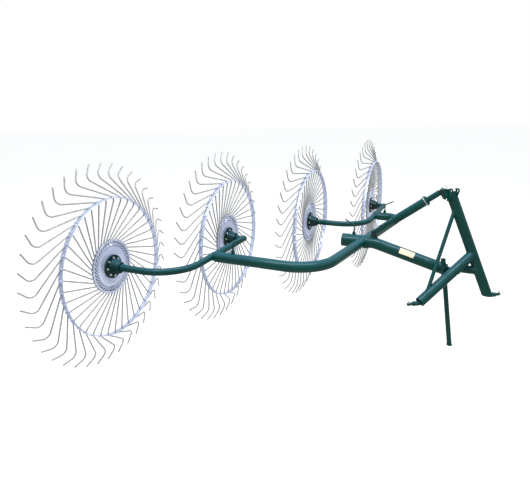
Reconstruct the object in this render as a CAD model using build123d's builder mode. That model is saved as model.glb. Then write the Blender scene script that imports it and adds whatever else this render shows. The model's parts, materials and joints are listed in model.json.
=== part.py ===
"""Three-point rotary hay rake with four ground-driven finger wheels on a walking beam.

Two frames share one origin, on the ground under the point where the main tube
crosses the line of travel:
- travel frame: +X forward, +Y to the left, +Z up (headstock and stand);
- gang frame: +X along the wheel axles, +Y along the wheel planes, +Z up
  (main tube, boom, rockers, wheels and brace), turned AXLE_ANGLE from travel.
"""

import os
from math import atan, atan2, cos, degrees, hypot, radians, sin, tan

from build123d import *

# ---- general sizes, mm and degrees ----
AXLE_ANGLE = 52.0
PIN_CLEARANCE = 0.1
TUBE_CLEARANCE = 0.3
FACE_CLEARANCE = 2.0

# ---- finger wheel ----
TINE_COUNT = 40
TINE_SIZE = 7.0
TIP_RADIUS = 690.0
TIP_SWEEP = 20.6
TIP_DISH = 84.0
ELBOW_RADIUS = 614.0
ELBOW_SWEEP = 26.5
ELBOW_DISH = 66.0
HOOP_RADIUS = 465.0
HOOP_WIDTH = 36.0
HOOP_THICKNESS = 4.0
ROOT_RADIUS = 146.0
ROOT_SWEEP = 44.0
DISC_RADIUS = 184.0
DISC_COVER_RADIUS = 156.0
DISC_DISH = 22.0
DISC_PLATE = 3.0
FLANGE_RADIUS = 80.0
FLANGE_THICKNESS = 10.0
BARREL_RADIUS = 40.0
BARREL_FLARE = 14.0
BARREL_FRONT = 74.0
BARREL_BACK = 26.0
AXLE_RADIUS = 15.0
AXLE_HEAD_RADIUS = 24.0
AXLE_HEAD_THICKNESS = 12.0

# ---- rockers, one behind each end of the boom ----
ROCKER_DIAMETER = 48.3
ROCKER_WALL = 4.0
ROCKER_BEND_RADIUS = 270.0
ROCKER_FRONT_REACH = 460.0
ROCKER_REAR_REACH = 500.0
ROCKER_FRONT_STUB = 494.0
ROCKER_REAR_STUB = 118.0
FRONT_SPIGOT_LENGTH = 175.0
FRONT_SCREW_OUT = 165.0
REAR_SPIGOT_LENGTH = 90.0
REAR_SCREW_OUT = 98.0
SPIGOT_WALL = 6.0
SPIGOT_GROOVE_DEPTH = 3.0
SPIGOT_GROOVE_WIDTH = 18.0

# ---- boom: sleeve on the main tube with an arm tube to each side ----
ARM_DIAMETER = 76.1
ARM_WALL = 5.0
FRONT_BEND_RADIUS = 280.0
REAR_BEND_RADIUS = 95.0
FRONT_CORNER_OUT = 791.0
REAR_CORNER_OUT = 1050.0
REAR_PIVOT_OUT = 815.0
REAR_PIVOT_ALONG = 1760.0
SLEEVE_DIAMETER = 103.0
SLEEVE_LENGTH = 212.0
SLEEVE_CAP = 6.0
SLEEVE_SCREW_IN = 85.0

# ---- main tube, its places ahead of and behind the hitch measured along the axles ----
MAIN_DIAMETER = 88.9
MAIN_WALL = 5.0
MAIN_CROSSING_ALONG = 805.0
MAIN_START_OUT = 752.0
MAIN_BEND_BACK = 510.0
MAIN_BEND_RADIUS = 250.0
MAIN_DROP_ANGLE = 15.2
MAIN_END_GAP = 54.0
HITCH_OUT = 1512.0

# ---- headstock hinge at the end of the main tube ----
HINGE_AHEAD = 88.0
HINGE_PIN_RADIUS = 12.5
HINGE_EYE_RADIUS = 27.0
HINGE_EYE_WIDTH = 30.0
HINGE_CHEEK = 12.0
HINGE_STUB_DIAMETER = 60.0
HINGE_STUB_WALL = 5.0
HINGE_STUB_GAP = 46.0
HINGE_STUB_RISE = 38.0

# ---- headstock frame, drawn in its own leaning plane ----
HEADSTOCK_FOOT_FORWARD = 193.0
HEADSTOCK_FOOT_DROP = 149.0
MAST_HEIGHT = 771.0
APEX_FORWARD = 6.5
APEX_DROP = 6.0
LEG_DIAMETER = 73.0
LEG_WALL = 5.0
LEG_JOIN_SHARE = 0.40
STRUT_DIAMETER = 26.9
STRUT_WALL = 3.0
STRUT_TOP_SHARE = 0.85
STRUT_FOOT_SHARE = 0.08
LOWER_PIN_RADIUS = 11.0
LOWER_PIN_LENGTH = 44.0
LOWER_PIN_SHOULDER_SPREAD = 683.0
LOWER_PIN_BOSS_REACH = 65.5
LOWER_PIN_BOSS_RADIUS = 17.0
LOWER_PIN_ROOT = 30.0
LEG_TOP_CUT = 18.0
LEG_FOOT_MARGIN = 0.0
SHORT_LEG_LIFT = 16.0
EAR_THICKNESS = 8.0
EAR_GAP = 46.0
EAR_NOSE_RADIUS = 18.0
EAR_TOP_RISE = 9.0
EAR_ROOT_DROP = 78.0
TOP_LINK_REACH = 50.0
TOP_LINK_BORE_RADIUS = 9.75

# ---- telescopic brace ----
BRACE_LUG_GAP = 11.0
BRACE_LUG_FLARE = 8.0
BRACE_LUG_RISE = 85.0
BRACE_LUG_WIDTH = 16.0
BRACE_BUSH_WIDTH = 40.0
BRACE_EYE_RADIUS = 20.0
BRACE_PIN_RADIUS = 9.5
BRACE_TOP_BACK = 57.0
BRACE_TOP_DROP = 16.0
BRACE_TUBE_DIAMETER = 63.5
BRACE_TUBE_WALL = 5.0
BRACE_TUBE_START = 175.0
BRACE_TUBE_END = 470.0
BRACE_ROD_DIAMETER = 42.4
BRACE_ROD_WALL = 5.0
BRACE_ROD_START = 292.0
BRACE_BAR_THICKNESS = 8.0
BRACE_BAR_WIDTH = 28.0
BRACE_BAR_END = 215.0
BRACE_COLLAR_DIAMETER = 70.0
BRACE_COLLAR_LENGTH = 14.0
BRACE_OPEN_CLEARANCE = 3.0

# ---- parking stand ----
STAND_DIAMETER = 34.0
STAND_WALL = 3.5
STAND_LEAN = 11.0
STAND_SIDE_LEAN = 3.7
STAND_RISE = 100.0
STAND_FOOT_RADIUS = 20.0
STAND_FOOT_THICKNESS = 6.0
STAND_GUIDE_WALL = 5.0
STAND_GUIDE_LENGTH = 110.0
STAND_GUIDE_GAP = 4.0
STAND_AHEAD = 25.0
STAND_SCREW_UP = 36.0

# ---- lock screws with bent handles ----
SCREW_RADIUS = 7.0
SCREW_BOSS_RADIUS = 13.0
SCREW_BOSS_HEIGHT = 20.0
SCREW_TIP_GAP = 2.0
HANDLE_RADIUS = 5.0
HANDLE_RISE = 45.0
HANDLE_LENGTH = 85.0
HANDLE_BEND_RADIUS = 16.0
HANDLE_BEND_ANGLE = 62.0

def polar(radius, angle, height):
    """A point given by its radius, its angle and its height along the axle."""
    return (radius * cos(radians(angle)), radius * sin(radians(angle)), height)


# ---- wheel reel: hoop, spoke disc and tines, axle along +Z, wheel plane at Z = 0 ----
tine_low = -90.0 - TIP_SWEEP + 180.0 / TINE_COUNT
disc_face = TINE_SIZE / 2 + DISC_PLATE - DISC_DISH
disc_back = -TINE_SIZE / 2 - DISC_PLATE - DISC_DISH
with BuildPart() as tine:
    with BuildLine() as tine_path:
        Polyline(
            polar(ROOT_RADIUS, tine_low + ROOT_SWEEP, -DISC_DISH),
            polar(HOOP_RADIUS, tine_low, 0),
            polar(ELBOW_RADIUS, tine_low + ELBOW_SWEEP, -ELBOW_DISH),
            polar(TIP_RADIUS, tine_low + TIP_SWEEP, -TIP_DISH),
        )
    with BuildSketch(Plane(origin=tine_path.line @ 0, z_dir=tine_path.line % 0, x_dir=(0, 0, 1))):
        Rectangle(TINE_SIZE, TINE_SIZE)
    sweep(transition=Transition.RIGHT)

with BuildPart() as reel:
    with BuildSketch(Plane.XZ):
        Polygon(
            (AXLE_RADIUS + 40, disc_back),
            (DISC_RADIUS, disc_back),
            (DISC_RADIUS, -DISC_DISH),
            (DISC_COVER_RADIUS, -DISC_DISH),
            (DISC_COVER_RADIUS, disc_face - 1),
            (DISC_COVER_RADIUS - 8, disc_face),
            (AXLE_RADIUS + 40, disc_face),
            align=None,
        )
        with Locations((HOOP_RADIUS, 0)):
            Rectangle(HOOP_THICKNESS, HOOP_WIDTH)
    revolve()
    with PolarLocations(0, TINE_COUNT):
        add(tine.part)

# ---- layout: the lowest tine tips stand on the ground ----
AXLE_HEIGHT = -reel.part.bounding_box().min.Y
GANG_ALONG = -MAIN_CROSSING_ALONG
FRONT_PIVOT = Vector(-HITCH_OUT, GANG_ALONG, AXLE_HEIGHT)
REAR_PIVOT = FRONT_PIVOT + Vector(REAR_PIVOT_OUT, REAR_PIVOT_ALONG, 0)
ARM_BORE = ARM_DIAMETER / 2 - ARM_WALL
SPIGOT_RADIUS = ARM_BORE - TUBE_CLEARANCE
ARM_END_GAP = ROCKER_DIAMETER / 2 + 6.0
MAIN_DROP = radians(MAIN_DROP_ANGLE)


def main_height(ahead):
    """Height of the main tube's centreline at a distance ahead of the hitch, along the axles."""
    return AXLE_HEIGHT - max(0.0, ahead + MAIN_BEND_BACK) * tan(MAIN_DROP)


HINGE = Vector(HINGE_AHEAD, 0, main_height(HINGE_AHEAD))
FOOT_HEIGHT = HINGE.Z - HEADSTOCK_FOOT_DROP
TOP_LINK = Vector(APEX_FORWARD + TOP_LINK_REACH, 0, FOOT_HEIGHT + MAST_HEIGHT)
SLEEVE_START = MAIN_START_OUT - FACE_CLEARANCE - SLEEVE_CAP - HITCH_OUT
BRACE_LUG_START = SLEEVE_START + SLEEVE_LENGTH + BRACE_LUG_GAP
BRACE_LOW = Vector(
    BRACE_LUG_START + BRACE_LUG_FLARE + BRACE_EYE_RADIUS, 0, AXLE_HEIGHT + BRACE_LUG_RISE
)
BRACE_HIGH = Vector(APEX_FORWARD - BRACE_TOP_BACK, 0, TOP_LINK.Z - BRACE_TOP_DROP)
BRACE_LENGTH = (BRACE_HIGH - BRACE_LOW).length
GANG = Location((0, 0, 0), (0, 0, AXLE_ANGLE))
TRAVEL = Location()


# ---- wheel hub: bolted flange and barrel on both sides of the disc ----
barrel_bore = AXLE_RADIUS + PIN_CLEARANCE
with BuildPart() as hub:
    with BuildSketch(Plane.XZ):
        Polygon(
            (barrel_bore, disc_back - BARREL_BACK),
            (BARREL_RADIUS, disc_back - BARREL_BACK),
            (BARREL_RADIUS, disc_face),
            (FLANGE_RADIUS, disc_face),
            (FLANGE_RADIUS, disc_face + FLANGE_THICKNESS),
            (BARREL_RADIUS + BARREL_FLARE, disc_face + FLANGE_THICKNESS + 4),
            (BARREL_RADIUS, disc_face + BARREL_FRONT - 8),
            (BARREL_RADIUS - 4, disc_face + BARREL_FRONT),
            (barrel_bore, disc_face + BARREL_FRONT),
            align=None,
        )
    revolve()

# ---- axle: shaft with a retaining head beyond the hub ----
axle_inner = disc_face + BARREL_FRONT + FACE_CLEARANCE
with BuildPart() as axle:
    with BuildSketch(Plane.XZ):
        head = disc_back - BARREL_BACK - FACE_CLEARANCE
        Polygon(
            (0, head - AXLE_HEAD_THICKNESS),
            (AXLE_HEAD_RADIUS - 3, head - AXLE_HEAD_THICKNESS),
            (AXLE_HEAD_RADIUS, head - AXLE_HEAD_THICKNESS + 3),
            (AXLE_HEAD_RADIUS, head),
            (AXLE_RADIUS, head),
            (AXLE_RADIUS, axle_inner),
            (0, axle_inner),
            align=None,
        )
    revolve()

# ---- rockers: bent tubes with a pivot spigot, their pivot at the origin ----
tube_outer = ROCKER_DIAMETER / 2
tube_inner = tube_outer - ROCKER_WALL
rockers = {}
for rocker_name, spigot_length, screw_out in (
    ("front_rocker", FRONT_SPIGOT_LENGTH, FRONT_SCREW_OUT),
    ("rear_rocker", REAR_SPIGOT_LENGTH, REAR_SCREW_OUT),
):
    with BuildPart() as rocker:
        with BuildLine() as rocker_path:
            FilletPolyline(
                (axle_inner - ROCKER_FRONT_STUB, -ROCKER_FRONT_REACH, 0),
                (0, -ROCKER_FRONT_REACH, 0),
                (0, ROCKER_REAR_REACH + tube_outer, 0),
                radius=ROCKER_BEND_RADIUS,
            )
        with BuildSketch(Plane(origin=rocker_path.line @ 0, z_dir=rocker_path.line % 0)):
            Circle(tube_outer)
            Circle(tube_inner, mode=Mode.SUBTRACT)
        sweep()
        # end plug and cross stub that carry the two axles
        with BuildSketch(Plane(origin=rocker_path.line @ 0, z_dir=(1, 0, 0))):
            Circle(tube_inner + 1)
        extrude(amount=20)
        with BuildSketch(Plane(origin=rocker_path.line @ 1, z_dir=(0, -1, 0))):
            Circle(tube_inner + 1)
        extrude(amount=6)
        with BuildSketch(Plane(origin=(0, ROCKER_REAR_REACH, 0), z_dir=(-1, 0, 0))):
            Circle(tube_outer - 1)
        extrude(amount=ROCKER_REAR_STUB - axle_inner)
        # hollow pivot spigot with its retaining groove
        with BuildSketch(Plane(origin=(0, 0, 0), z_dir=(1, 0, 0))):
            Circle(SPIGOT_RADIUS)
            Circle(SPIGOT_RADIUS - SPIGOT_WALL, mode=Mode.SUBTRACT)
        extrude(amount=ARM_END_GAP + spigot_length)
        with BuildSketch(Plane(origin=(screw_out, 0, 0), z_dir=(1, 0, 0))):
            Circle(SPIGOT_RADIUS + 1)
            Circle(SPIGOT_RADIUS - SPIGOT_GROOVE_DEPTH, mode=Mode.SUBTRACT)
        extrude(amount=SPIGOT_GROOVE_WIDTH / 2, both=True, mode=Mode.SUBTRACT)
    rockers[rocker_name] = rocker

# ---- boom, in the gang frame ----
arm_slope = (REAR_CORNER_OUT - FRONT_CORNER_OUT) / REAR_PIVOT_ALONG
crossing_out = FRONT_CORNER_OUT + arm_slope * MAIN_CROSSING_ALONG
crossing = FRONT_PIVOT + Vector(crossing_out, MAIN_CROSSING_ALONG, 0)
sleeve_radius = SLEEVE_DIAMETER / 2
sleeve_bore = MAIN_DIAMETER / 2 + TUBE_CLEARANCE
arm_radius = ARM_DIAMETER / 2
AXLE_DIR = (1, 0, 0)

with BuildPart() as front_arm:
    with BuildLine() as front_path:
        FilletPolyline(
            FRONT_PIVOT + Vector(ARM_END_GAP, 0, 0),
            FRONT_PIVOT + Vector(FRONT_CORNER_OUT, 0, 0),
            crossing,
            radius=FRONT_BEND_RADIUS,
        )
    with BuildSketch(Plane(origin=front_path.line @ 0, z_dir=AXLE_DIR)):
        Circle(arm_radius)
        Circle(ARM_BORE, mode=Mode.SUBTRACT)
    sweep()
    with BuildSketch(Plane(origin=FRONT_PIVOT + Vector(FRONT_SCREW_OUT, 0, arm_radius - ARM_WALL))):
        Circle(SCREW_BOSS_RADIUS)
    extrude(amount=ARM_WALL + SCREW_BOSS_HEIGHT)
    with BuildSketch(Plane(origin=FRONT_PIVOT + Vector(FRONT_SCREW_OUT, 0, 0))):
        Circle(SCREW_RADIUS + TUBE_CLEARANCE)
    extrude(amount=arm_radius + SCREW_BOSS_HEIGHT + 1, mode=Mode.SUBTRACT)
    with BuildSketch(Plane(origin=FRONT_PIVOT, z_dir=AXLE_DIR)):
        Circle(ARM_BORE)
    extrude(amount=FRONT_CORNER_OUT - FRONT_BEND_RADIUS, mode=Mode.SUBTRACT)
    with BuildSketch(Plane(origin=(SLEEVE_START, 0, AXLE_HEIGHT), z_dir=AXLE_DIR)):
        Circle(sleeve_radius)
    extrude(amount=SLEEVE_LENGTH, mode=Mode.SUBTRACT)

with BuildPart() as rear_arm:
    with BuildLine() as rear_path:
        FilletPolyline(
            REAR_PIVOT + Vector(ARM_END_GAP, 0, 0),
            FRONT_PIVOT + Vector(REAR_CORNER_OUT, REAR_PIVOT_ALONG, 0),
            crossing,
            radius=REAR_BEND_RADIUS,
        )
    with BuildSketch(Plane(origin=rear_path.line @ 0, z_dir=AXLE_DIR)):
        Circle(arm_radius)
        Circle(ARM_BORE, mode=Mode.SUBTRACT)
    sweep()
    with BuildSketch(Plane(origin=REAR_PIVOT + Vector(REAR_SCREW_OUT, 0, arm_radius - ARM_WALL))):
        Circle(SCREW_BOSS_RADIUS)
    extrude(amount=ARM_WALL + SCREW_BOSS_HEIGHT)
    with BuildSketch(Plane(origin=REAR_PIVOT + Vector(REAR_SCREW_OUT, 0, 0))):
        Circle(SCREW_RADIUS + TUBE_CLEARANCE)
    extrude(amount=arm_radius + SCREW_BOSS_HEIGHT + 1, mode=Mode.SUBTRACT)
    with BuildSketch(Plane(origin=REAR_PIVOT, z_dir=AXLE_DIR)):
        Circle(ARM_BORE)
    extrude(amount=ARM_END_GAP + REAR_SPIGOT_LENGTH + 2, mode=Mode.SUBTRACT)
    with BuildSketch(Plane(origin=(SLEEVE_START, 0, AXLE_HEIGHT), z_dir=AXLE_DIR)):
        Circle(sleeve_radius)
    extrude(amount=SLEEVE_LENGTH, mode=Mode.SUBTRACT)

sleeve_screw_out = SLEEVE_START + SLEEVE_CAP + SLEEVE_SCREW_IN
with BuildPart() as boom_sleeve:
    with BuildSketch(Plane(origin=(SLEEVE_START, 0, AXLE_HEIGHT), z_dir=AXLE_DIR)):
        Circle(sleeve_radius)
    extrude(amount=SLEEVE_LENGTH)
    with BuildSketch(Plane(origin=(sleeve_screw_out, 0, AXLE_HEIGHT + MAIN_DIAMETER / 2 + 2))):
        Circle(SCREW_BOSS_RADIUS)
    extrude(amount=sleeve_radius - MAIN_DIAMETER / 2 - 2 + SCREW_BOSS_HEIGHT)
    with BuildSketch(Plane(origin=(sleeve_screw_out, 0, AXLE_HEIGHT))):
        Circle(SCREW_RADIUS + TUBE_CLEARANCE)
    extrude(amount=sleeve_radius + SCREW_BOSS_HEIGHT + 1, mode=Mode.SUBTRACT)
    with BuildSketch(Plane(origin=(SLEEVE_START + SLEEVE_CAP, 0, AXLE_HEIGHT), z_dir=AXLE_DIR)):
        Circle(sleeve_bore)
    extrude(amount=SLEEVE_LENGTH, mode=Mode.SUBTRACT)

# ---- lock screw with a bent handle, its tip at the origin, pointing up +Z ----
screws = {}
bend = radians(HANDLE_BEND_ANGLE)
for screw_name, buried, handle_share in (
    ("boom_screw", sleeve_radius - MAIN_DIAMETER / 2 - 1.0, 1.0),
    ("front_arm_screw", ARM_WALL + SPIGOT_GROOVE_DEPTH - 1.0, 1.0),
    ("rear_arm_screw", ARM_WALL + SPIGOT_GROOVE_DEPTH - 1.0, 1.0),
    ("stand_screw", STAND_GUIDE_WALL - SCREW_TIP_GAP, 0.6),
):
    rise = HANDLE_RISE * handle_share
    reach = HANDLE_LENGTH * handle_share
    shank = buried + SCREW_BOSS_HEIGHT + 12.0
    with BuildPart() as screw:
        with BuildSketch():
            Circle(SCREW_RADIUS)
        extrude(amount=shank)
        with BuildLine() as handle_path:
            FilletPolyline(
                (0, 0, shank - 4),
                (0, 0, shank + rise),
                (reach * sin(bend), 0, shank + rise + reach * cos(bend)),
                radius=HANDLE_BEND_RADIUS,
            )
        with BuildSketch(Plane(origin=handle_path.line @ 0)):
            Circle(HANDLE_RADIUS)
        sweep()
    screws[screw_name] = screw

# ---- main tube: level through the boom sleeve, then dropping to the hinge eye ----
main_radius = MAIN_DIAMETER / 2
main_end = Vector(HINGE_AHEAD - MAIN_END_GAP, 0, main_height(HINGE_AHEAD - MAIN_END_GAP))
drop_dir = Vector(cos(MAIN_DROP), 0, -sin(MAIN_DROP))
with BuildPart() as main_tube:
    with BuildLine() as main_path:
        FilletPolyline(
            (MAIN_START_OUT - HITCH_OUT, 0, AXLE_HEIGHT),
            (-MAIN_BEND_BACK, 0, AXLE_HEIGHT),
            main_end,
            radius=MAIN_BEND_RADIUS,
        )
    with BuildSketch(Plane(origin=main_path.line @ 0, z_dir=AXLE_DIR)):
        Circle(main_radius)
        Circle(main_radius - MAIN_WALL, mode=Mode.SUBTRACT)
    sweep()
    with BuildSketch(Plane(origin=main_end, z_dir=-drop_dir)):
        Circle(main_radius - MAIN_WALL + 1)
    extrude(amount=8)
    with BuildSketch(Plane(origin=main_end - drop_dir * 4, z_dir=drop_dir, x_dir=(0, 1, 0))):
        Rectangle(HINGE_EYE_WIDTH, 2 * HINGE_EYE_RADIUS)
    extrude(amount=(HINGE - main_end).length + 4)
    with BuildSketch(Plane(origin=HINGE, z_dir=(0, 1, 0))):
        Circle(HINGE_EYE_RADIUS)
    extrude(amount=HINGE_EYE_WIDTH / 2, both=True)
    with BuildSketch(Plane(origin=HINGE, z_dir=(0, 1, 0))):
        Circle(HINGE_PIN_RADIUS + PIN_CLEARANCE)
    extrude(amount=HINGE_EYE_WIDTH, both=True, mode=Mode.SUBTRACT)

# ---- brace lug on top of the main tube, with its cross bush ----
with BuildPart() as brace_lug:
    with BuildSketch(Plane(origin=BRACE_LOW, z_dir=(0, -1, 0), x_dir=AXLE_DIR)):
        drop = BRACE_LUG_RISE - main_radius + 8
        Circle(BRACE_EYE_RADIUS)
        Polygon(
            (-BRACE_EYE_RADIUS, 0),
            (BRACE_EYE_RADIUS, 0),
            (BRACE_EYE_RADIUS + BRACE_LUG_FLARE, -drop),
            (-BRACE_EYE_RADIUS - BRACE_LUG_FLARE, -drop),
            align=None,
        )
    extrude(amount=BRACE_LUG_WIDTH / 2, both=True)
    with BuildSketch(Plane(origin=BRACE_LOW, z_dir=(0, 1, 0))):
        Circle(BRACE_EYE_RADIUS - 2)
    extrude(amount=BRACE_BUSH_WIDTH / 2, both=True)
    with BuildSketch(Plane(origin=BRACE_LOW, z_dir=(0, 1, 0))):
        Circle(BRACE_PIN_RADIUS + BRACE_OPEN_CLEARANCE)
    extrude(amount=BRACE_BUSH_WIDTH, both=True, mode=Mode.SUBTRACT)
    with BuildSketch(Plane(origin=main_path.line @ 0, z_dir=AXLE_DIR)):
        Circle(main_radius)
    sweep(path=main_path.line, mode=Mode.SUBTRACT)

# ---- telescopic brace: barred outer tube and sliding rod ----
brace_dir = (BRACE_HIGH - BRACE_LOW).normalized()
BRACE_AXIS = Plane(origin=BRACE_LOW, z_dir=brace_dir, x_dir=(0, 1, 0))
BRACE_SIDE = Plane(origin=BRACE_LOW, z_dir=(0, 1, 0), x_dir=brace_dir)
brace_radius = BRACE_TUBE_DIAMETER / 2
rod_radius = BRACE_ROD_DIAMETER / 2
bar_inner = BRACE_BUSH_WIDTH / 2 + FACE_CLEARANCE
with BuildPart() as brace_tube:
    with BuildSketch(BRACE_AXIS.offset(BRACE_TUBE_START)):
        Circle(brace_radius)
    extrude(amount=BRACE_TUBE_END - BRACE_TUBE_START)
    with BuildSketch(BRACE_AXIS.offset(BRACE_TUBE_END)):
        Circle(BRACE_COLLAR_DIAMETER / 2)
    extrude(amount=-BRACE_COLLAR_LENGTH)
    for side in (-1, 1):
        with BuildSketch(BRACE_SIDE.offset(side * bar_inner)):
            Circle(BRACE_EYE_RADIUS - 3)
            with Locations((BRACE_BAR_END / 2, 0)):
                Rectangle(BRACE_BAR_END, BRACE_BAR_WIDTH)
            Circle(BRACE_PIN_RADIUS + PIN_CLEARANCE, mode=Mode.SUBTRACT)
        extrude(amount=side * BRACE_BAR_THICKNESS)
    with BuildSketch(BRACE_AXIS.offset(BRACE_BAR_END + 18)):
        Circle(brace_radius - BRACE_TUBE_WALL)
    extrude(amount=BRACE_TUBE_END - BRACE_BAR_END - BRACE_COLLAR_LENGTH - 23, mode=Mode.SUBTRACT)
    with BuildSketch(BRACE_AXIS.offset(BRACE_TUBE_END - BRACE_COLLAR_LENGTH - 10)):
        Circle(rod_radius + TUBE_CLEARANCE)
    extrude(amount=BRACE_COLLAR_LENGTH + 20, mode=Mode.SUBTRACT)

with BuildPart() as brace_rod:
    with BuildSketch(BRACE_AXIS.offset(BRACE_ROD_START)):
        Circle(rod_radius)
        Circle(rod_radius - BRACE_ROD_WALL, mode=Mode.SUBTRACT)
    extrude(amount=BRACE_LENGTH - BRACE_EYE_RADIUS - BRACE_ROD_START)
    with BuildSketch(BRACE_AXIS.offset(BRACE_LENGTH - BRACE_EYE_RADIUS - 10)):
        Circle(rod_radius)
    extrude(amount=10)
    with BuildSketch(BRACE_SIDE):
        with Locations((BRACE_LENGTH - BRACE_EYE_RADIUS, 0)):
            Rectangle(2 * BRACE_EYE_RADIUS - 8, 2 * BRACE_EYE_RADIUS - 8)
    extrude(amount=BRACE_LUG_WIDTH / 2, both=True)
    with BuildSketch(BRACE_SIDE):
        with Locations((BRACE_LENGTH, 0)):
            Circle(BRACE_EYE_RADIUS - 3)
    extrude(amount=EAR_GAP / 2 - FACE_CLEARANCE, both=True)
    with BuildSketch(BRACE_SIDE):
        with Locations((BRACE_LENGTH, 0)):
            Circle(BRACE_PIN_RADIUS + PIN_CLEARANCE)
    extrude(amount=EAR_GAP, both=True, mode=Mode.SUBTRACT)

# ---- round pins with a head, through the brace eyes and the hinge ----
pins = {}
for pin_name, pin_centre, pin_radius, half_grip in (
    ("brace_low_pin", BRACE_LOW, BRACE_PIN_RADIUS, bar_inner + BRACE_BAR_THICKNESS),
    ("brace_high_pin", BRACE_HIGH, BRACE_PIN_RADIUS, EAR_GAP / 2 + EAR_THICKNESS),
    ("hinge_pin", HINGE, HINGE_PIN_RADIUS, HINGE_EYE_WIDTH / 2 + FACE_CLEARANCE + HINGE_CHEEK),
):
    with BuildPart() as pin:
        with BuildSketch(Plane(origin=pin_centre - Vector(0, half_grip + 1, 0), z_dir=(0, 1, 0))):
            Circle(pin_radius)
        extrude(amount=2 * half_grip + 15)
        with BuildSketch(Plane(origin=pin_centre - Vector(0, half_grip + 1, 0), z_dir=(0, -1, 0))):
            Circle(pin_radius + 6)
        extrude(amount=6)
        chamfer(pin.faces().sort_by(Axis.Y)[-1].edges(), 2)
    pins[pin_name] = pin

# ---- headstock, in the travel frame ----
apex_height = TOP_LINK.Z - APEX_DROP
lean = atan2(HEADSTOCK_FOOT_FORWARD - APEX_FORWARD, apex_height - FOOT_HEIGHT)
HEAD = Plane(
    origin=(HEADSTOCK_FOOT_FORWARD, 0, FOOT_HEIGHT),
    x_dir=(0, 1, 0),
    z_dir=(cos(lean), 0, sin(lean)),
)


def on_head(across, up):
    """A point of the headstock plane in the travel frame."""
    return HEAD.from_local_coords(Vector(across, up, 0))


def share(a, b, part):
    """The point that lies the given share of the way from a to b."""
    return a + (b - a) * part


leg_radius = LEG_DIAMETER / 2
apex = on_head(0, (apex_height - FOOT_HEIGHT) / cos(lean))
leg_half_spread = LOWER_PIN_SHOULDER_SPREAD / 2 - LOWER_PIN_BOSS_REACH
left_foot = on_head(leg_half_spread, 0)
right_foot = on_head(-leg_half_spread, 0)
junction = share(left_foot, apex, LEG_JOIN_SHARE)
strut_top = share(left_foot, apex, STRUT_TOP_SHARE)
short_end = right_foot + Vector(0, 0, SHORT_LEG_LIFT)
strut_foot = share(short_end, junction, STRUT_FOOT_SHARE)
long_dir = (left_foot - apex).normalized()
short_dir = (short_end - junction).normalized()
short_length = (short_end - junction).length + 16
leg_bottom = FOOT_HEIGHT - LEG_FOOT_MARGIN

with BuildPart() as long_leg:
    with BuildSketch(Plane(origin=apex + long_dir * LEG_TOP_CUT, z_dir=long_dir)):
        Circle(leg_radius)
        Circle(leg_radius - LEG_WALL, mode=Mode.SUBTRACT)
    extrude(amount=(left_foot - apex).length + 60)
    split(bisect_by=Plane.XY.offset(leg_bottom), keep=Keep.TOP)

with BuildPart() as short_leg:
    with BuildSketch(Plane(origin=junction, z_dir=short_dir)):
        Circle(leg_radius)
        Circle(leg_radius - LEG_WALL, mode=Mode.SUBTRACT)
    extrude(amount=short_length)
    with BuildSketch(Plane(origin=apex, z_dir=long_dir)):
        Circle(leg_radius)
    extrude(amount=(left_foot - apex).length, mode=Mode.SUBTRACT)

with BuildPart() as strut:
    with BuildSketch(Plane(origin=strut_top, z_dir=strut_foot - strut_top)):
        Circle(STRUT_DIAMETER / 2)
        Circle(STRUT_DIAMETER / 2 - STRUT_WALL, mode=Mode.SUBTRACT)
    extrude(amount=(strut_foot - strut_top).length)
    with BuildSketch(Plane(origin=apex, z_dir=long_dir)):
        Circle(leg_radius)
    extrude(amount=(left_foot - apex).length, mode=Mode.SUBTRACT)
    with BuildSketch(Plane(origin=junction, z_dir=short_dir)):
        Circle(leg_radius)
    extrude(amount=short_length, mode=Mode.SUBTRACT)

# ---- lower hitch pins: the left on the side of its leg, the right through its leg's open end ----
lower_pins = {}
for pin_name, side, foot, leg_top, along, bore in (
    ("lower_pin_left", 1, left_foot, apex, long_dir, 0),
    ("lower_pin_right", -1, right_foot, junction, short_dir, leg_radius - LEG_WALL),
):
    with BuildPart() as lower_pin:
        with BuildSketch(Plane(origin=foot - Vector(0, side * LOWER_PIN_ROOT, 0), z_dir=(0, side, 0))):
            Circle(LOWER_PIN_BOSS_RADIUS)
        extrude(amount=LOWER_PIN_BOSS_REACH + LOWER_PIN_ROOT)
        with BuildSketch(Plane(origin=foot, z_dir=(0, side, 0))):
            Circle(LOWER_PIN_RADIUS)
        extrude(amount=LOWER_PIN_BOSS_REACH + LOWER_PIN_LENGTH)
        chamfer(lower_pin.faces().sort_by(Axis.Y)[-1 if side > 0 else 0].edges(), 2)
        with BuildSketch(Plane(origin=leg_top, z_dir=along)):
            Circle(leg_radius)
            if bore:
                Circle(bore, mode=Mode.SUBTRACT)
        extrude(amount=short_length if bore else (foot - leg_top).length + 60, mode=Mode.SUBTRACT)
        add(lower_pin.solids().sort_by(SortBy.VOLUME)[-1], mode=Mode.REPLACE)
    lower_pins[pin_name] = lower_pin

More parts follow.
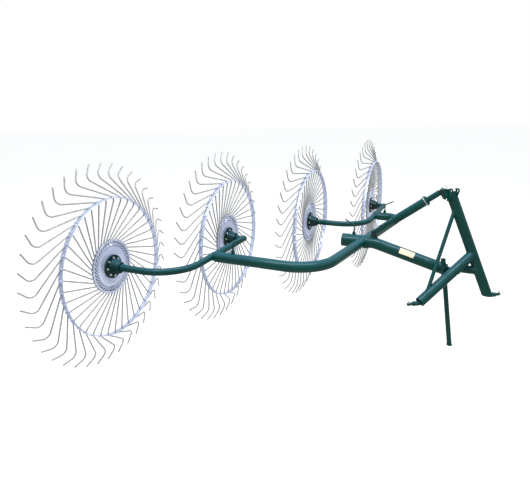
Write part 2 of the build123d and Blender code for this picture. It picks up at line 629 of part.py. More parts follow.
# ---- top link ears ahead of the apex, one plate each side of the link ----
ears = {}
for ear_name, side, root in (("top_ear_left", 1, 4.0), ("top_ear_right", -1, 16.0)):
    with BuildPart() as ear:
        with BuildSketch(Plane.XZ.offset(-side * EAR_GAP / 2)):
            with Locations((TOP_LINK.X, TOP_LINK.Z)):
                Circle(EAR_NOSE_RADIUS)
            Polygon(
                (apex.X + root, TOP_LINK.Z + EAR_TOP_RISE),
                (apex.X + root, TOP_LINK.Z - EAR_ROOT_DROP),
                (apex.X + leg_radius, TOP_LINK.Z - EAR_ROOT_DROP),
                (TOP_LINK.X + EAR_NOSE_RADIUS * 0.7, TOP_LINK.Z - EAR_NOSE_RADIUS * 0.7),
                (TOP_LINK.X, TOP_LINK.Z + EAR_NOSE_RADIUS),
                align=None,
            )
            with Locations((TOP_LINK.X, TOP_LINK.Z)):
                Circle(TOP_LINK_BORE_RADIUS, mode=Mode.SUBTRACT)
        extrude(amount=-side * EAR_THICKNESS)
        with BuildSketch(Plane(origin=apex - long_dir * 60, z_dir=long_dir)):
            Circle(leg_radius)
        extrude(amount=400, mode=Mode.SUBTRACT)
    ears[ear_name] = ear

# ---- brace ears behind the apex, in the gang frame ----
apex_in_gang = Vector(apex).rotate(Axis.Z, -AXLE_ANGLE)
leg_in_gang = Vector(long_dir).rotate(Axis.Z, -AXLE_ANGLE)
for ear_name, side, root in (("brace_ear_front", -1, -20.0), ("brace_ear_rear", 1, 4.0)):
    with BuildPart() as ear:
        with BuildSketch(Plane.XZ.offset(-side * EAR_GAP / 2)):
            with Locations((BRACE_HIGH.X, BRACE_HIGH.Z)):
                Circle(EAR_NOSE_RADIUS)
            Polygon(
                (BRACE_HIGH.X, BRACE_HIGH.Z + EAR_NOSE_RADIUS),
                (BRACE_HIGH.X - EAR_NOSE_RADIUS * 0.7, BRACE_HIGH.Z - EAR_NOSE_RADIUS * 0.7),
                (apex_in_gang.X - leg_radius, BRACE_HIGH.Z - EAR_ROOT_DROP * 0.7),
                (apex_in_gang.X + root, BRACE_HIGH.Z - EAR_ROOT_DROP * 0.7),
                (apex_in_gang.X + root, BRACE_HIGH.Z + EAR_TOP_RISE),
                align=None,
            )
            with Locations((BRACE_HIGH.X, BRACE_HIGH.Z)):
                Circle(BRACE_PIN_RADIUS + PIN_CLEARANCE, mode=Mode.SUBTRACT)
        extrude(amount=-side * EAR_THICKNESS)
        with BuildSketch(Plane(origin=apex_in_gang - leg_in_gang * 60, z_dir=leg_in_gang)):
            Circle(leg_radius)
        extrude(amount=400, mode=Mode.SUBTRACT)
    ears[ear_name] = ear

# ---- hinge bracket: stub on the long leg with two cheeks, in the gang frame ----
stub_start = HINGE_AHEAD + HINGE_STUB_GAP
stub_radius = HINGE_STUB_DIAMETER / 2
stub_height = HINGE.Z + HINGE_STUB_RISE
cheek_inner = HINGE_EYE_WIDTH / 2 + FACE_CLEARANCE
with BuildPart() as hinge_bracket:
    with BuildSketch(Plane(origin=(stub_start, 0, stub_height), z_dir=AXLE_DIR)):
        Circle(stub_radius)
    extrude(amount=10)
    with BuildSketch(Plane(origin=(stub_start + 5, 0, stub_height), z_dir=AXLE_DIR)):
        Circle(stub_radius)
        Circle(stub_radius - HINGE_STUB_WALL, mode=Mode.SUBTRACT)
    extrude(amount=115)
    for side in (-1, 1):
        with BuildSketch(Plane.XZ.offset(-side * cheek_inner)):
            with Locations((HINGE.X, HINGE.Z)):
                Circle(HINGE_EYE_RADIUS)
            Polygon(
                (HINGE.X, HINGE.Z - HINGE_EYE_RADIUS),
                (stub_start + 1, stub_height - stub_radius),
                (stub_start + 1, stub_height + stub_radius - 8),
                (HINGE.X - 10, HINGE.Z + HINGE_EYE_RADIUS - 3),
                align=None,
            )
            with Locations((HINGE.X, HINGE.Z)):
                Circle(HINGE_PIN_RADIUS + PIN_CLEARANCE, mode=Mode.SUBTRACT)
        extrude(amount=-side * HINGE_CHEEK)
    with BuildSketch(Plane(origin=apex_in_gang, z_dir=leg_in_gang)):
        Circle(leg_radius)
    extrude(amount=(left_foot - apex).length, mode=Mode.SUBTRACT)

# ---- parking stand in its guide, in the travel frame ----
stand_radius = STAND_DIAMETER / 2
guide_bore = stand_radius + TUBE_CLEARANCE
guide_radius = guide_bore + STAND_GUIDE_WALL
guide_aside = main_radius + STAND_GUIDE_GAP + guide_radius
guide_height = main_height(STAND_AHEAD)
guide_in_gang = Vector(STAND_AHEAD, -guide_aside, guide_height)
guide_centre = Vector(guide_in_gang).rotate(Axis.Z, AXLE_ANGLE)
stand_up = Vector(-tan(radians(STAND_LEAN)), -tan(radians(STAND_SIDE_LEAN)), 1).normalized()
stand_up_in_gang = Vector(stand_up).rotate(Axis.Z, -AXLE_ANGLE)
stand_seat = guide_in_gang + stand_up_in_gang * STAND_SCREW_UP
SCREW_DIR = (0, -1, 0)
stand_top = guide_centre + stand_up * (STAND_RISE / stand_up.Z)
with BuildPart() as stand_leg:
    with BuildSketch(Plane(origin=stand_top, z_dir=-stand_up)):
        Circle(stand_radius)
        Circle(stand_radius - STAND_WALL, mode=Mode.SUBTRACT)
    extrude(amount=(guide_height + STAND_RISE - STAND_FOOT_THICKNESS) / stand_up.Z + 10)
    split(bisect_by=Plane.XY.offset(STAND_FOOT_THICKNESS), keep=Keep.TOP)
    foot_centre = guide_centre - stand_up * (guide_height / stand_up.Z)
    with BuildSketch(Plane(origin=foot_centre)):
        Circle(STAND_FOOT_RADIUS)
    extrude(amount=STAND_FOOT_THICKNESS)

with BuildPart() as stand_guide:
    with BuildSketch(Plane(origin=guide_in_gang, z_dir=stand_up_in_gang)):
        Circle(guide_radius)
    extrude(amount=STAND_GUIDE_LENGTH / 2, both=True)
    with BuildSketch(Plane(origin=guide_in_gang, z_dir=(0, 1, 0), x_dir=AXLE_DIR)):
        Rectangle(2 * guide_radius - 14, STAND_GUIDE_LENGTH * 0.6)
    extrude(amount=guide_aside - HINGE_EYE_WIDTH / 2 - FACE_CLEARANCE)
    with BuildSketch(Plane(origin=stand_seat, z_dir=SCREW_DIR)):
        Circle(SCREW_BOSS_RADIUS)
    extrude(amount=guide_radius + SCREW_BOSS_HEIGHT)
    with BuildSketch(Plane(origin=stand_seat, z_dir=SCREW_DIR)):
        Circle(SCREW_RADIUS + TUBE_CLEARANCE)
    extrude(amount=guide_radius + SCREW_BOSS_HEIGHT + 1, mode=Mode.SUBTRACT)
    with BuildSketch(Plane(origin=guide_in_gang, z_dir=stand_up_in_gang)):
        Circle(guide_bore)
    extrude(amount=STAND_GUIDE_LENGTH, both=True, mode=Mode.SUBTRACT)
    with BuildSketch(Plane(origin=main_path.line @ 0, z_dir=AXLE_DIR)):
        Circle(main_radius)
    sweep(path=main_path.line, mode=Mode.SUBTRACT)

# ---- assembly: every piece with its place in the travel frame ----


def in_gang(spot, direction=(0, 0, 1), across=(1, 0, 0)):
    """Travel-frame location of a piece whose own +Z and +X are given in the gang frame."""
    return GANG * Plane(origin=spot, z_dir=direction, x_dir=across).location


pieces = {
    "main_tube": (main_tube, GANG),
    "brace_lug": (brace_lug, GANG),
    "boom_sleeve": (boom_sleeve, GANG),
    "front_arm": (front_arm, GANG),
    "rear_arm": (rear_arm, GANG),
    "front_rocker": (rockers["front_rocker"], in_gang(FRONT_PIVOT)),
    "rear_rocker": (rockers["rear_rocker"], in_gang(REAR_PIVOT)),
    "brace_tube": (brace_tube, GANG),
    "brace_rod": (brace_rod, GANG),
    "brace_ear_front": (ears["brace_ear_front"], GANG),
    "brace_ear_rear": (ears["brace_ear_rear"], GANG),
    "top_ear_left": (ears["top_ear_left"], TRAVEL),
    "top_ear_right": (ears["top_ear_right"], TRAVEL),
    "hinge_bracket": (hinge_bracket, GANG),
    "long_leg": (long_leg, TRAVEL),
    "short_leg": (short_leg, TRAVEL),
    "strut": (strut, TRAVEL),
    "stand_leg": (stand_leg, TRAVEL),
    "stand_guide": (stand_guide, GANG),
}
for pin_name, pin in pins.items():
    pieces[pin_name] = (pin, GANG)
for pin_name, pin in lower_pins.items():
    pieces[pin_name] = (pin, TRAVEL)

screw_seats = {
    "boom_screw": (
        Vector(sleeve_screw_out, 0, AXLE_HEIGHT + main_radius + 1.0), (0, 0, 1), (-1, 0, 0),
    ),
    "front_arm_screw": (
        FRONT_PIVOT + Vector(FRONT_SCREW_OUT, 0, SPIGOT_RADIUS - SPIGOT_GROOVE_DEPTH + 1.0),
        (0, 0, 1), (1, 0, 0),
    ),
    "rear_arm_screw": (
        REAR_PIVOT + Vector(REAR_SCREW_OUT, 0, SPIGOT_RADIUS - SPIGOT_GROOVE_DEPTH + 1.0),
        (0, 0, 1), (1, 0, 0),
    ),
    "stand_screw": (
        stand_seat - Vector(0, stand_radius + SCREW_TIP_GAP, 0), SCREW_DIR, (-0.4, 0, 1),
    ),
}
for screw_name, (seat, direction, across) in screw_seats.items():
    pieces[screw_name] = (screws[screw_name], in_gang(seat, direction, across))

wheel_hubs = (
    ("wheel_1", FRONT_PIVOT, -ROCKER_FRONT_STUB, -ROCKER_FRONT_REACH),
    ("wheel_2", FRONT_PIVOT, -ROCKER_REAR_STUB, ROCKER_REAR_REACH),
    ("wheel_3", REAR_PIVOT, -ROCKER_FRONT_STUB, -ROCKER_FRONT_REACH),
    ("wheel_4", REAR_PIVOT, -ROCKER_REAR_STUB, ROCKER_REAR_REACH),
)
for wheel_name, pivot, out, along in wheel_hubs:
    hub_place = in_gang(pivot + Vector(out, along, 0), (1, 0, 0), (0, 1, 0))
    pieces[wheel_name + "_reel"] = (reel, hub_place)
    pieces[wheel_name + "_hub"] = (hub, hub_place)
    pieces[wheel_name + "_axle"] = (axle, hub_place)

# the row's origin lies on the ground below the middle of the machine's box
placed = {name: piece.part.moved(place) for name, (piece, place) in pieces.items()}
boxes = [piece.bounding_box() for piece in placed.values()]
ORIGIN = Vector(
    (min(box.min.X for box in boxes) + max(box.max.X for box in boxes)) / 2,
    (min(box.min.Y for box in boxes) + max(box.max.Y for box in boxes)) / 2,
    min(box.min.Z for box in boxes),
)

os.makedirs("parts", exist_ok=True)
for name, piece in placed.items():
    finished = piece.moved(Location(-ORIGIN))
    finished.label = name
    export_step(finished, f"parts/{name}.step")
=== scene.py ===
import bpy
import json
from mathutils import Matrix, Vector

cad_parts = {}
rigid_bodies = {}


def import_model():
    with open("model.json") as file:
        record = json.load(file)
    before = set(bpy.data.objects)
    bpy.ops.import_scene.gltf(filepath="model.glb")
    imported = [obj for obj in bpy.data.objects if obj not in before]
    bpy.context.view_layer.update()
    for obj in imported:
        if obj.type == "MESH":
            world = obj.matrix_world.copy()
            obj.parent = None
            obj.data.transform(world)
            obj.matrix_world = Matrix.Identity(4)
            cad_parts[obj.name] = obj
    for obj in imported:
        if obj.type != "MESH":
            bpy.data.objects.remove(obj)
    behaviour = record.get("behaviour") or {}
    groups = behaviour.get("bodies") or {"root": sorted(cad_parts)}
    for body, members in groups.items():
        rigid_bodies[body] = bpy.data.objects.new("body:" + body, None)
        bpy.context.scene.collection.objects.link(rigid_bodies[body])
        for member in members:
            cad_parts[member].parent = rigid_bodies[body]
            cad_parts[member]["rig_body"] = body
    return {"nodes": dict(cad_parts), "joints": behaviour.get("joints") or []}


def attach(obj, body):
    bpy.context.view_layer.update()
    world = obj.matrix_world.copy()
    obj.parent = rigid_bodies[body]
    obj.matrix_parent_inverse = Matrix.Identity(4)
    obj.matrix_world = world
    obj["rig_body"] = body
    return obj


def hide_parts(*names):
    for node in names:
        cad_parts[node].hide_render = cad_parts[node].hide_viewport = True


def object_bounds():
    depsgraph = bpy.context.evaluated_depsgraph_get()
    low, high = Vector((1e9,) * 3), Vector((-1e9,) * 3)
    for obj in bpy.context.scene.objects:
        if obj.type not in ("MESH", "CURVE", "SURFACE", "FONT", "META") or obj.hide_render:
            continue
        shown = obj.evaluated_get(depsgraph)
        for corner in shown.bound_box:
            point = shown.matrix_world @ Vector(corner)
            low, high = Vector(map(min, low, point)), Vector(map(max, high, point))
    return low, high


bl_info = {
    "name": "Finger Wheel Hay Rake",
    "version": (1, 0, 0),
    "blender": (4, 5, 0),
    "location": "3D View > Sidebar > Hay Rake",
    "description": "Dresses a three-point finger wheel hay rake: wheels, fasteners, welds and paint",
    "category": "Object",
}

import json
import math

import bmesh
import bpy
from bpy.props import FloatProperty, FloatVectorProperty, IntProperty, PointerProperty
from mathutils import Matrix, Vector
from mathutils.bvhtree import BVHTree

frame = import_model()
CAD_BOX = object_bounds()
JOINTS = {joint["name"]: joint for joint in frame["joints"]}
NODES = frame["nodes"]
WHEELS = ("wheel_1", "wheel_2", "wheel_3", "wheel_4")
UP = Vector((0.0, 0.0, 1.0))
OUT = Vector(JOINTS["wheel_1_spin"]["axis"]).normalized()
ALONG = UP.cross(OUT)
LEFT = Vector((0.0, 1.0, 0.0))

# fixed values that the panel doesn't show: metres, degrees, counts and ratios; the lens is in mm
END_DEPTH = 0.0005
LATHE_STEPS = 160
TIP_TRIM = 0.001
BOLT_HEIGHT = 0.0075
WASHER_RATIO = 1.4
WASHER_THICKNESS = 0.0016
SEAM_REACH = 0.0015
SEAM_ANGLE = 24.0
RIPPLE_LENGTH = 0.006
LABEL_PROBE = 0.1
LABEL_FILM = 0.0005
CAMERA_FORWARD, CAMERA_LEFT = 3.9666, -1.0359
CAMERA_LENS = 32.567
CAMERA_PITCH, CAMERA_HEADING = 15.92, 75.3


# ---- settings


def length(name, description, default, smallest=0.0):
    """A length in metres that shows its unit."""
    return FloatProperty(name=name, description=description, default=default, min=smallest, unit="LENGTH")


def colour(name, description, default):
    """A colour shown as a swatch."""
    return FloatVectorProperty(
        name=name, description=description, default=default, size=3, min=0.0, max=1.0, subtype="COLOR"
    )


def angle(name, description, degrees):
    """An angle that is given in degrees."""
    return FloatProperty(name=name, description=description, default=math.radians(degrees), subtype="ANGLE")


def power(name, description, default):
    """A lamp's power."""
    return FloatProperty(name=name, description=description, default=default, unit="POWER")


class RakeWheelSettings(bpy.types.PropertyGroup):
    """Sizes of one tined wheel."""

    tine_count: IntProperty(name="Tines", description="Tines round one wheel", default=40, min=8)
    wire_radius: length("Wire radius", "Radius of the tine wire", 0.0048)
    disc_gap: length("Disc gap", "Half of the gap between the plates of the disc", 0.0041)
    root_radius: length("Root radius", "Radius at which a tine starts inside the spoke disc", 0.146)
    root_sweep: angle("Root sweep", "Angle of the root ahead of the hoop", 44.0)
    hoop_radius: length("Hoop radius", "Middle radius of the flat hoop", 0.465)
    hoop_width: length("Hoop width", "Width of the hoop along the axle", 0.036)
    hoop_thickness: length("Hoop thickness", "Thickness of the hoop band", 0.004)
    elbow_radius: length("Elbow radius", "Radius at which a tine turns outward", 0.614)
    hoop_bend: length("Hoop bend", "Bend radius of a tine at the hoop", 0.030)
    elbow_sweep: angle("Elbow sweep", "Angle of the elbow past the hoop", 26.5)
    elbow_bend: length("Elbow bend", "Bend radius of a tine at the elbow", 0.042)
    elbow_dish: length("Elbow dish", "How far the elbow lies behind the hoop", 0.066)
    tip_radius: length("Tip radius", "Radius at the tine tips", 0.690)
    tip_sweep: angle("Tip sweep", "Angle of the tip past the hoop", 20.6)
    tip_dish: length("Tip dish", "How far the tips lie behind the hoop", 0.084)
    disc_radius: length("Disc radius", "Radius of the spoke disc", 0.184)
    disc_dish: length("Disc dish", "How far the spoke disc lies behind the hoop", 0.022)
    disc_plate: length("Disc plate", "Thickness of one plate of the spoke disc", 0.003)
    band_outer: length("Band outer radius", "Outer radius of the ribbed band", 0.167)
    band_inner: length("Band inner radius", "Inner radius of the ribbed band", 0.137)
    flange_thickness: length("Flange", "Thickness of the hub flange", 0.010)


class RakeFastenerSettings(bpy.types.PropertyGroup):
    """Sizes of bolts, pin clips, weld beads and the blank label."""

    bolt_count: IntProperty(name="Hub bolts", description="Bolts round one hub flange", default=8, min=3)
    bolt_circle: length("Bolt circle", "Radius of the hub bolt circle", 0.061)
    bolt_flats: length("Bolt flats", "Half the distance across a bolt head's flats", 0.0068)
    bead_radius: length("Weld bead", "Radius of a weld bead", 0.0035)
    clip_radius: length("Clip ring", "Radius of a linch pin's ring", 0.019)
    clip_wire: length("Clip wire", "Radius of a linch pin's ring wire", 0.0022)
    brace_radius: length("Brace radius", "Outer radius of the brace tube", 0.03175)
    label_length: length("Label length", "Length of the blank label along the main tube", 0.115)
    label_from_hinge: length("Label place", "Distance from the hinge to the blank label", 0.35)
    label_lift: angle("Label lift", "Angle of the label's middle above level", 40.0)
    label_turn: angle("Label turn", "Angle that the label wraps round the tube", 62.0)


class RakeFinishSettings(bpy.types.PropertyGroup):
    """Colours of the paint and the metals."""

    paint: colour("Frame paint", "Gloss green of the frame", (0.0010, 0.036, 0.029))
    # partly a dusty film, partly painted sky reflection on the paint's upper sides
    dust_and_sky_sheen: colour("Paint bloom", "Dust and painted_sky_sheen on the paint's upper sides", (0.046, 0.155, 0.225))
    hub_paint: colour("Hub paint", "Darker green of the hubs", (0.003, 0.020, 0.018))
    galvanised: colour("Galvanised", "Zinc coat of discs and hoops", (0.47, 0.525, 0.68))
    # painted shade: a dark zinc sheet in the ribbed band stands for the shade between the tines
    recess: colour("Recess", "Dull zinc down in the disc's ribbed band", (0.150, 0.160, 0.215))
    wire: colour("Tine wire", "Spring wire of the tines", (0.30, 0.31, 0.315))
    oiled: colour("Oiled steel", "Dark oiled pins of the brace and the hinge", (0.020, 0.026, 0.027))
    zinc: colour("Pin zinc", "Plated pins and clips", (0.50, 0.50, 0.48))
    label: colour("Blank label", "Blank label on the main tube", (0.72, 0.62, 0.44))


class RakeStageSettings(bpy.types.PropertyGroup):
    """Floor, lamps and camera."""

    floor_size: length("Floor size", "Side of the square floor", 60.0)
    key_power: power("Key lamp", "Power of the soft key lamp", 35.0)
    strip_power: power("Strip lamp", "Power of the narrow overhead lamp", 210.0)
    fill_power: power("Fill lamp", "Power of the soft fill lamp", 35.0)
    sky: FloatProperty(name="Sky", description="Strength of the plain sky light", default=0.62, min=0.0)
    camera_height: length("Camera height", "Height of the camera", 1.748)


# ---- materials


class Shader:
    """A Principled material built node by node."""

    def __init__(self, name, rgb, metallic, roughness, coat=0.0):
        self.rgb = rgb
        self.material = bpy.data.materials.new(name)
        self.material.use_nodes = True
        self.tree = self.material.node_tree
        self.bsdf = self.tree.nodes["Principled BSDF"]
        self.bsdf.inputs["Base Color"].default_value = (*rgb, 1.0)
        self.bsdf.inputs["Metallic"].default_value = metallic
        self.bsdf.inputs["Roughness"].default_value = roughness
        self.bsdf.inputs["Coat Weight"].default_value = coat
        self.bsdf.inputs["Coat Roughness"].default_value = 0.08
        self.material.diffuse_color = (*rgb, 1.0)
        coordinates = self.tree.nodes.new("ShaderNodeTexCoord")
        self.place = coordinates.outputs["Object"]

    def node(self, kind, **values):
        """A new node; values that name inputs are set on them, the rest on the node."""
        made = self.tree.nodes.new(kind)
        for key, value in values.items():
            if key in made.inputs:
                made.inputs[key].default_value = value
            else:
                setattr(made, key, value)
        return made

    def link(self, source, target):
        self.tree.links.new(source, target)

    def noise(self, scale, detail=3.0):
        """Noise in object space."""
        made = self.node("ShaderNodeTexNoise", Scale=scale, Detail=detail, Roughness=0.55)
        self.link(self.place, made.inputs["Vector"])
        return made.outputs["Fac"]

    def cells(self, scale):
        """Flat-shaded crystal cells in object space."""
        made = self.node("ShaderNodeTexVoronoi", Scale=scale)
        self.link(self.place, made.inputs["Vector"])
        return made.outputs["Color"]

    def blend(self, factor, first, second):
        """A colour mixed between two plain colours by a factor."""
        mix = self.node("ShaderNodeMix", data_type="RGBA")
        mix.inputs["A"].default_value = (*first, 1.0)
        mix.inputs["B"].default_value = (*second, 1.0)
        self.link(factor, mix.inputs["Factor"])
        return mix.outputs["Result"]

    def stretch(self, factor, low, high, new_low, new_high):
        """A factor remapped to another range."""
        made = self.node("ShaderNodeMapRange")
        for key, value in zip(("From Min", "From Max", "To Min", "To Max"), (low, high, new_low, new_high)):
            made.inputs[key].default_value = value
        self.link(factor, made.inputs["Value"])
        return made.outputs["Result"]

    def upward(self, low, high, most):
        """Zero on sides and undersides, rising to the given share where a surface looks up."""
        coordinates = self.node("ShaderNodeTexCoord")
        parts = self.node("ShaderNodeSeparateXYZ")
        self.link(coordinates.outputs["Normal"], parts.inputs[0])
        return self.stretch(parts.outputs["Z"], low, high, 0.0, most)

    def times(self, first, second):
        """The product of two factors."""
        made = self.node("ShaderNodeMath", operation="MULTIPLY")
        self.link(first, made.inputs[0])
        self.link(second, made.inputs[1])
        return made.outputs[0]

    def over(self, factor, under, top):
        """A plain colour laid over another shader colour by a factor."""
        laid = self.blend(factor, top, top)
        self.link(under, laid.node.inputs["A"])
        return laid

    def paint(self, tint):
        """Gives the surface a colour made by other nodes."""
        self.link(tint, self.bsdf.inputs["Base Color"])

    def mottle(self, factor, dark, light):
        """Lets the surface's colour wander between a darker and a lighter shade of it."""
        self.paint(self.blend(factor, shade(self.rgb, dark), shade(self.rgb, light)))

    def rough(self, noise, low, high):
        """Lets the roughness wander between two values with a noise."""
        self.link(self.stretch(noise, 0.3, 0.7, low, high), self.bsdf.inputs["Roughness"])

    def bump(self, height, strength, distance):
        """A fine relief on the normal."""
        made = self.node("ShaderNodeBump", Strength=strength, Distance=distance)
        self.link(height, made.inputs["Height"])
        self.link(made.outputs["Normal"], self.bsdf.inputs["Normal"])


def shade(rgb, factor):
    """A colour made darker or lighter."""
    return tuple(min(1.0, channel * factor) for channel in rgb)


def gloss_paint(name, rgb):
    """Sprayed gloss enamel of uneven shade with a faint orange peel; its upper sides turn lighter and bluer,
    partly a dusty film and partly painted sky reflection.
    """
    made = Shader(name, rgb, 0.0, 0.3, coat=0.24)
    made.bsdf.inputs["Specular IOR Level"].default_value = 0.0
    dust_and_sky_sheen = tuple(bpy.context.scene.rake_finish.dust_and_sky_sheen)
    patches = made.stretch(made.noise(5.0, 5.0), 0.3, 0.75, 0.0, 1.0)
    coat = made.blend(patches, shade(rgb, 0.8), shade(rgb, 1.25))
    thin = made.stretch(made.noise(14.0, 6.0), 0.2, 0.7, 0.75, 1.0)
    # painted sky reflection mixed with a dusty film: lighter and bluer where the surface looks up
    dust_and_sheen_mask = made.times(made.upward(0.24, 0.88, 0.42), thin)
    made.paint(made.over(dust_and_sheen_mask, coat, dust_and_sky_sheen))
    made.rough(made.noise(38.0, 4.0), 0.22, 0.36)
    made.bump(made.noise(240.0, 2.0), 0.08, 0.0008)
    return made.material


def zinc_coat(name, rgb):
    """Hot-dip zinc with crystal spangle."""
    made = Shader(name, rgb, 0.55, 0.42)
    grey = made.node("ShaderNodeRGBToBW")
    made.link(made.cells(95.0), grey.inputs["Color"])
    made.mottle(grey.outputs["Val"], 0.86, 1.16)
    made.rough(made.noise(22.0, 4.0), 0.34, 0.52)
    made.bump(made.noise(180.0, 3.0), 0.10, 0.0006)
    return made.material


def spring_wire(name, rgb):
    """Spring wire, dull and mottled."""
    made = Shader(name, rgb, 0.25, 0.55)
    made.mottle(made.noise(30.0, 5.0), 0.75, 1.2)
    made.rough(made.noise(60.0), 0.48, 0.65)
    made.bump(made.noise(900.0, 2.0), 0.06, 0.0003)
    return made.material


def dull_zinc(name, rgb):
    """Dark mottled zinc that lies in the disc's ribbed band as painted shade between the tines."""
    made = Shader(name, rgb, 0.2, 0.7)
    made.mottle(made.noise(55.0, 5.0), 0.6, 1.5)
    made.rough(made.noise(90.0), 0.6, 0.8)
    made.bump(made.noise(400.0, 3.0), 0.15, 0.0005)
    return made.material


def plated(name, rgb):
    """Plated or oiled pins and clips."""
    made = Shader(name, rgb, 0.85, 0.3)
    made.mottle(made.noise(70.0, 4.0), 0.8, 1.2)
    made.rough(made.noise(120.0), 0.24, 0.42)
    made.bump(made.noise(500.0, 2.0), 0.05, 0.0003)
    return made.material


def label_film(name, rgb):
    """Plain film of the blank label, slightly mottled."""
    made = Shader(name, rgb, 0.0, 0.4, coat=0.2)
    made.mottle(made.noise(9.0, 3.0), 0.9, 1.08)
    made.bump(made.noise(300.0), 0.04, 0.0003)
    return made.material


FINISHES = {
    "frame_enamel": (gloss_paint, "paint"),
    "hub_enamel": (gloss_paint, "hub_paint"),
    "disc_zinc": (zinc_coat, "galvanised"),
    # painted shade in the disc's ribbed band
    "dull_zinc": (dull_zinc, "recess"),
    "tine_wire": (spring_wire, "wire"),
    "pin_plate": (plated, "zinc"),
    "pin_oiled": (plated, "oiled"),
    "label_film": (label_film, "label"),
}


def finish(name):
    """The named finish, made on first use."""
    if name not in bpy.data.materials:
        maker, key = FINISHES[name]
        maker(name, tuple(getattr(bpy.context.scene.rake_finish, key)))
    return bpy.data.materials[name]


# ---- mesh helpers


def add_piece(name, mesh, material, body, stands_for=()):
    """Links a finished mesh as a piece that rides on a body."""
    made = bpy.data.objects.new(name, mesh)
    bpy.context.scene.collection.objects.link(made)
    made.data.materials.clear()
    made.data.materials.append(finish(material))
    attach(made, body)
    if stands_for:
        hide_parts(*stands_for)
    return made


def smooth_by_angle(mesh, degrees):
    """Smooth shading with the edges that bend more than an angle kept sharp."""
    sheet = bmesh.new()
    sheet.from_mesh(mesh)
    for face in sheet.faces:
        face.smooth = True
    for edge in sheet.edges:
        if len(edge.link_faces) == 2 and edge.calc_face_angle(0.0) > math.radians(degrees):
            edge.smooth = False
    sheet.to_mesh(mesh)
    sheet.free()


def lathe(profile):
    """A closed profile of (radius, height) points turned round Z."""
    sheet = bmesh.new()
    rings = []
    for step in range(LATHE_STEPS):
        turn = 2 * math.pi * step / LATHE_STEPS
        rings.append([sheet.verts.new((r * math.cos(turn), r * math.sin(turn), z)) for r, z in profile])
    count = len(profile)
    for here, there in zip(rings, rings[1:] + rings[:1]):
        for i in range(count):
            j = (i + 1) % count
            sheet.faces.new((here[i], there[i], there[j], here[j]))
    bmesh.ops.recalc_face_normals(sheet, faces=sheet.faces)
    return sheet


def plain_mesh(sheet, name):
    """A bmesh written to a new mesh."""
    mesh = bpy.data.meshes.new(name)
    sheet.to_mesh(mesh)
    sheet.free()
    return mesh


def to_mesh(sheet, name, matrix, crease=35.0):
    """A bmesh placed by a matrix and written to a smoothed mesh."""
    sheet.transform(matrix)
    mesh = plain_mesh(sheet, name)
    smooth_by_angle(mesh, crease)
    return mesh


def bridge(sheet, rings):
    """Faces between rings of vertices that follow each other."""
    for here, there in zip(rings, rings[1:]):
        count = len(here)
        for k in range(count):
            j = (k + 1) % count
            sheet.faces.new((here[k], here[j], there[j], there[k]))


def capped(sheet, rings, name):
    """A mesh of a row of rings, closed at both ends."""
    bridge(sheet, rings)
    sheet.faces.new(rings[0])
    sheet.faces.new(list(reversed(rings[-1])))
    bmesh.ops.recalc_face_normals(sheet, faces=sheet.faces)
    return plain_mesh(sheet, name)


def swept(points, radius, around, closed=False):
    """A bar of round section along a list of points, with flat ends or closed on itself."""
    points = [Vector(point) for point in points]
    count = len(points)
    sheet = bmesh.new()
    rings, side = [], None
    for i, point in enumerate(points):
        if closed:
            ahead, behind = points[(i + 1) % count], points[i - 1]
        else:
            ahead, behind = points[min(i + 1, count - 1)], points[max(i - 1, 0)]
        run = (ahead - behind).normalized()
        if side is None:
            side = run.orthogonal().normalized()
        side = (side - run * side.dot(run)).normalized()
        other = run.cross(side)
        rings.append([
            sheet.verts.new(point + radius * (math.cos(turn) * side + math.sin(turn) * other))
            for turn in (2 * math.pi * k / around for k in range(around))
        ])
    bridge(sheet, rings + rings[:1] if closed else rings)
    if not closed:
        sheet.faces.new(list(reversed(rings[0])))
        sheet.faces.new(rings[-1])
    bmesh.ops.recalc_face_normals(sheet, faces=sheet.faces)
    return sheet


def joined(sheets):
    """Several bmeshes as one."""
    whole = bmesh.new()
    for sheet in sheets:
        part = plain_mesh(sheet, "part")
        whole.from_mesh(part)
        bpy.data.meshes.remove(part)
    return whole


def place_at(spot, out, side):
    """Matrix with Z along out and X as near as can be to side, at a spot."""
    out = Vector(out).normalized()
    side = Vector(side)
    side = (side - out * side.dot(out)).normalized()
    place = Matrix((side, out.cross(side), out)).transposed().to_4x4()
    place.translation = spot
    return place


def node_span(node, way):
    """Middles of a node's two ends along a direction."""
    way = Vector(way).normalized()
    spots = [vertex.co.copy() for vertex in NODES[node].data.vertices]
    runs = [spot.dot(way) for spot in spots]
    ends = []
    for edge in (min(runs), max(runs)):
        near = [spot for spot, run in zip(spots, runs) if abs(run - edge) < END_DEPTH]
        low = Vector(min(spot[k] for spot in near) for k in range(3))
        high = Vector(max(spot[k] for spot in near) for k in range(3))
        ends.append((low + high) / 2)
    return ends


def wheel_place(wheel):
    """Matrix from wheel axes (X along the wheel plane, Y up, Z along the axle) to the machine."""
    joint = JOINTS[wheel + "_spin"]
    axle = Vector(joint["axis"]).normalized()
    place = Matrix((UP.cross(axle), UP, axle)).transposed().to_4x4()
    place.translation = Vector(joint["pos_m"])
    return place


def lowest_tine(wheel):
    """Angle at which the tine with the lowest tip crosses the hoop."""
    return -math.pi / 2 - wheel.tip_sweep + math.pi / wheel.tine_count


def merged(node):
    """A merged copy of a CAD node's mesh as a bmesh."""
    sheet = bmesh.new()
    sheet.from_mesh(NODES[node].data)
    bmesh.ops.remove_doubles(sheet, verts=sheet.verts, dist=1e-5)
    return sheet


# ---- geometry node trees


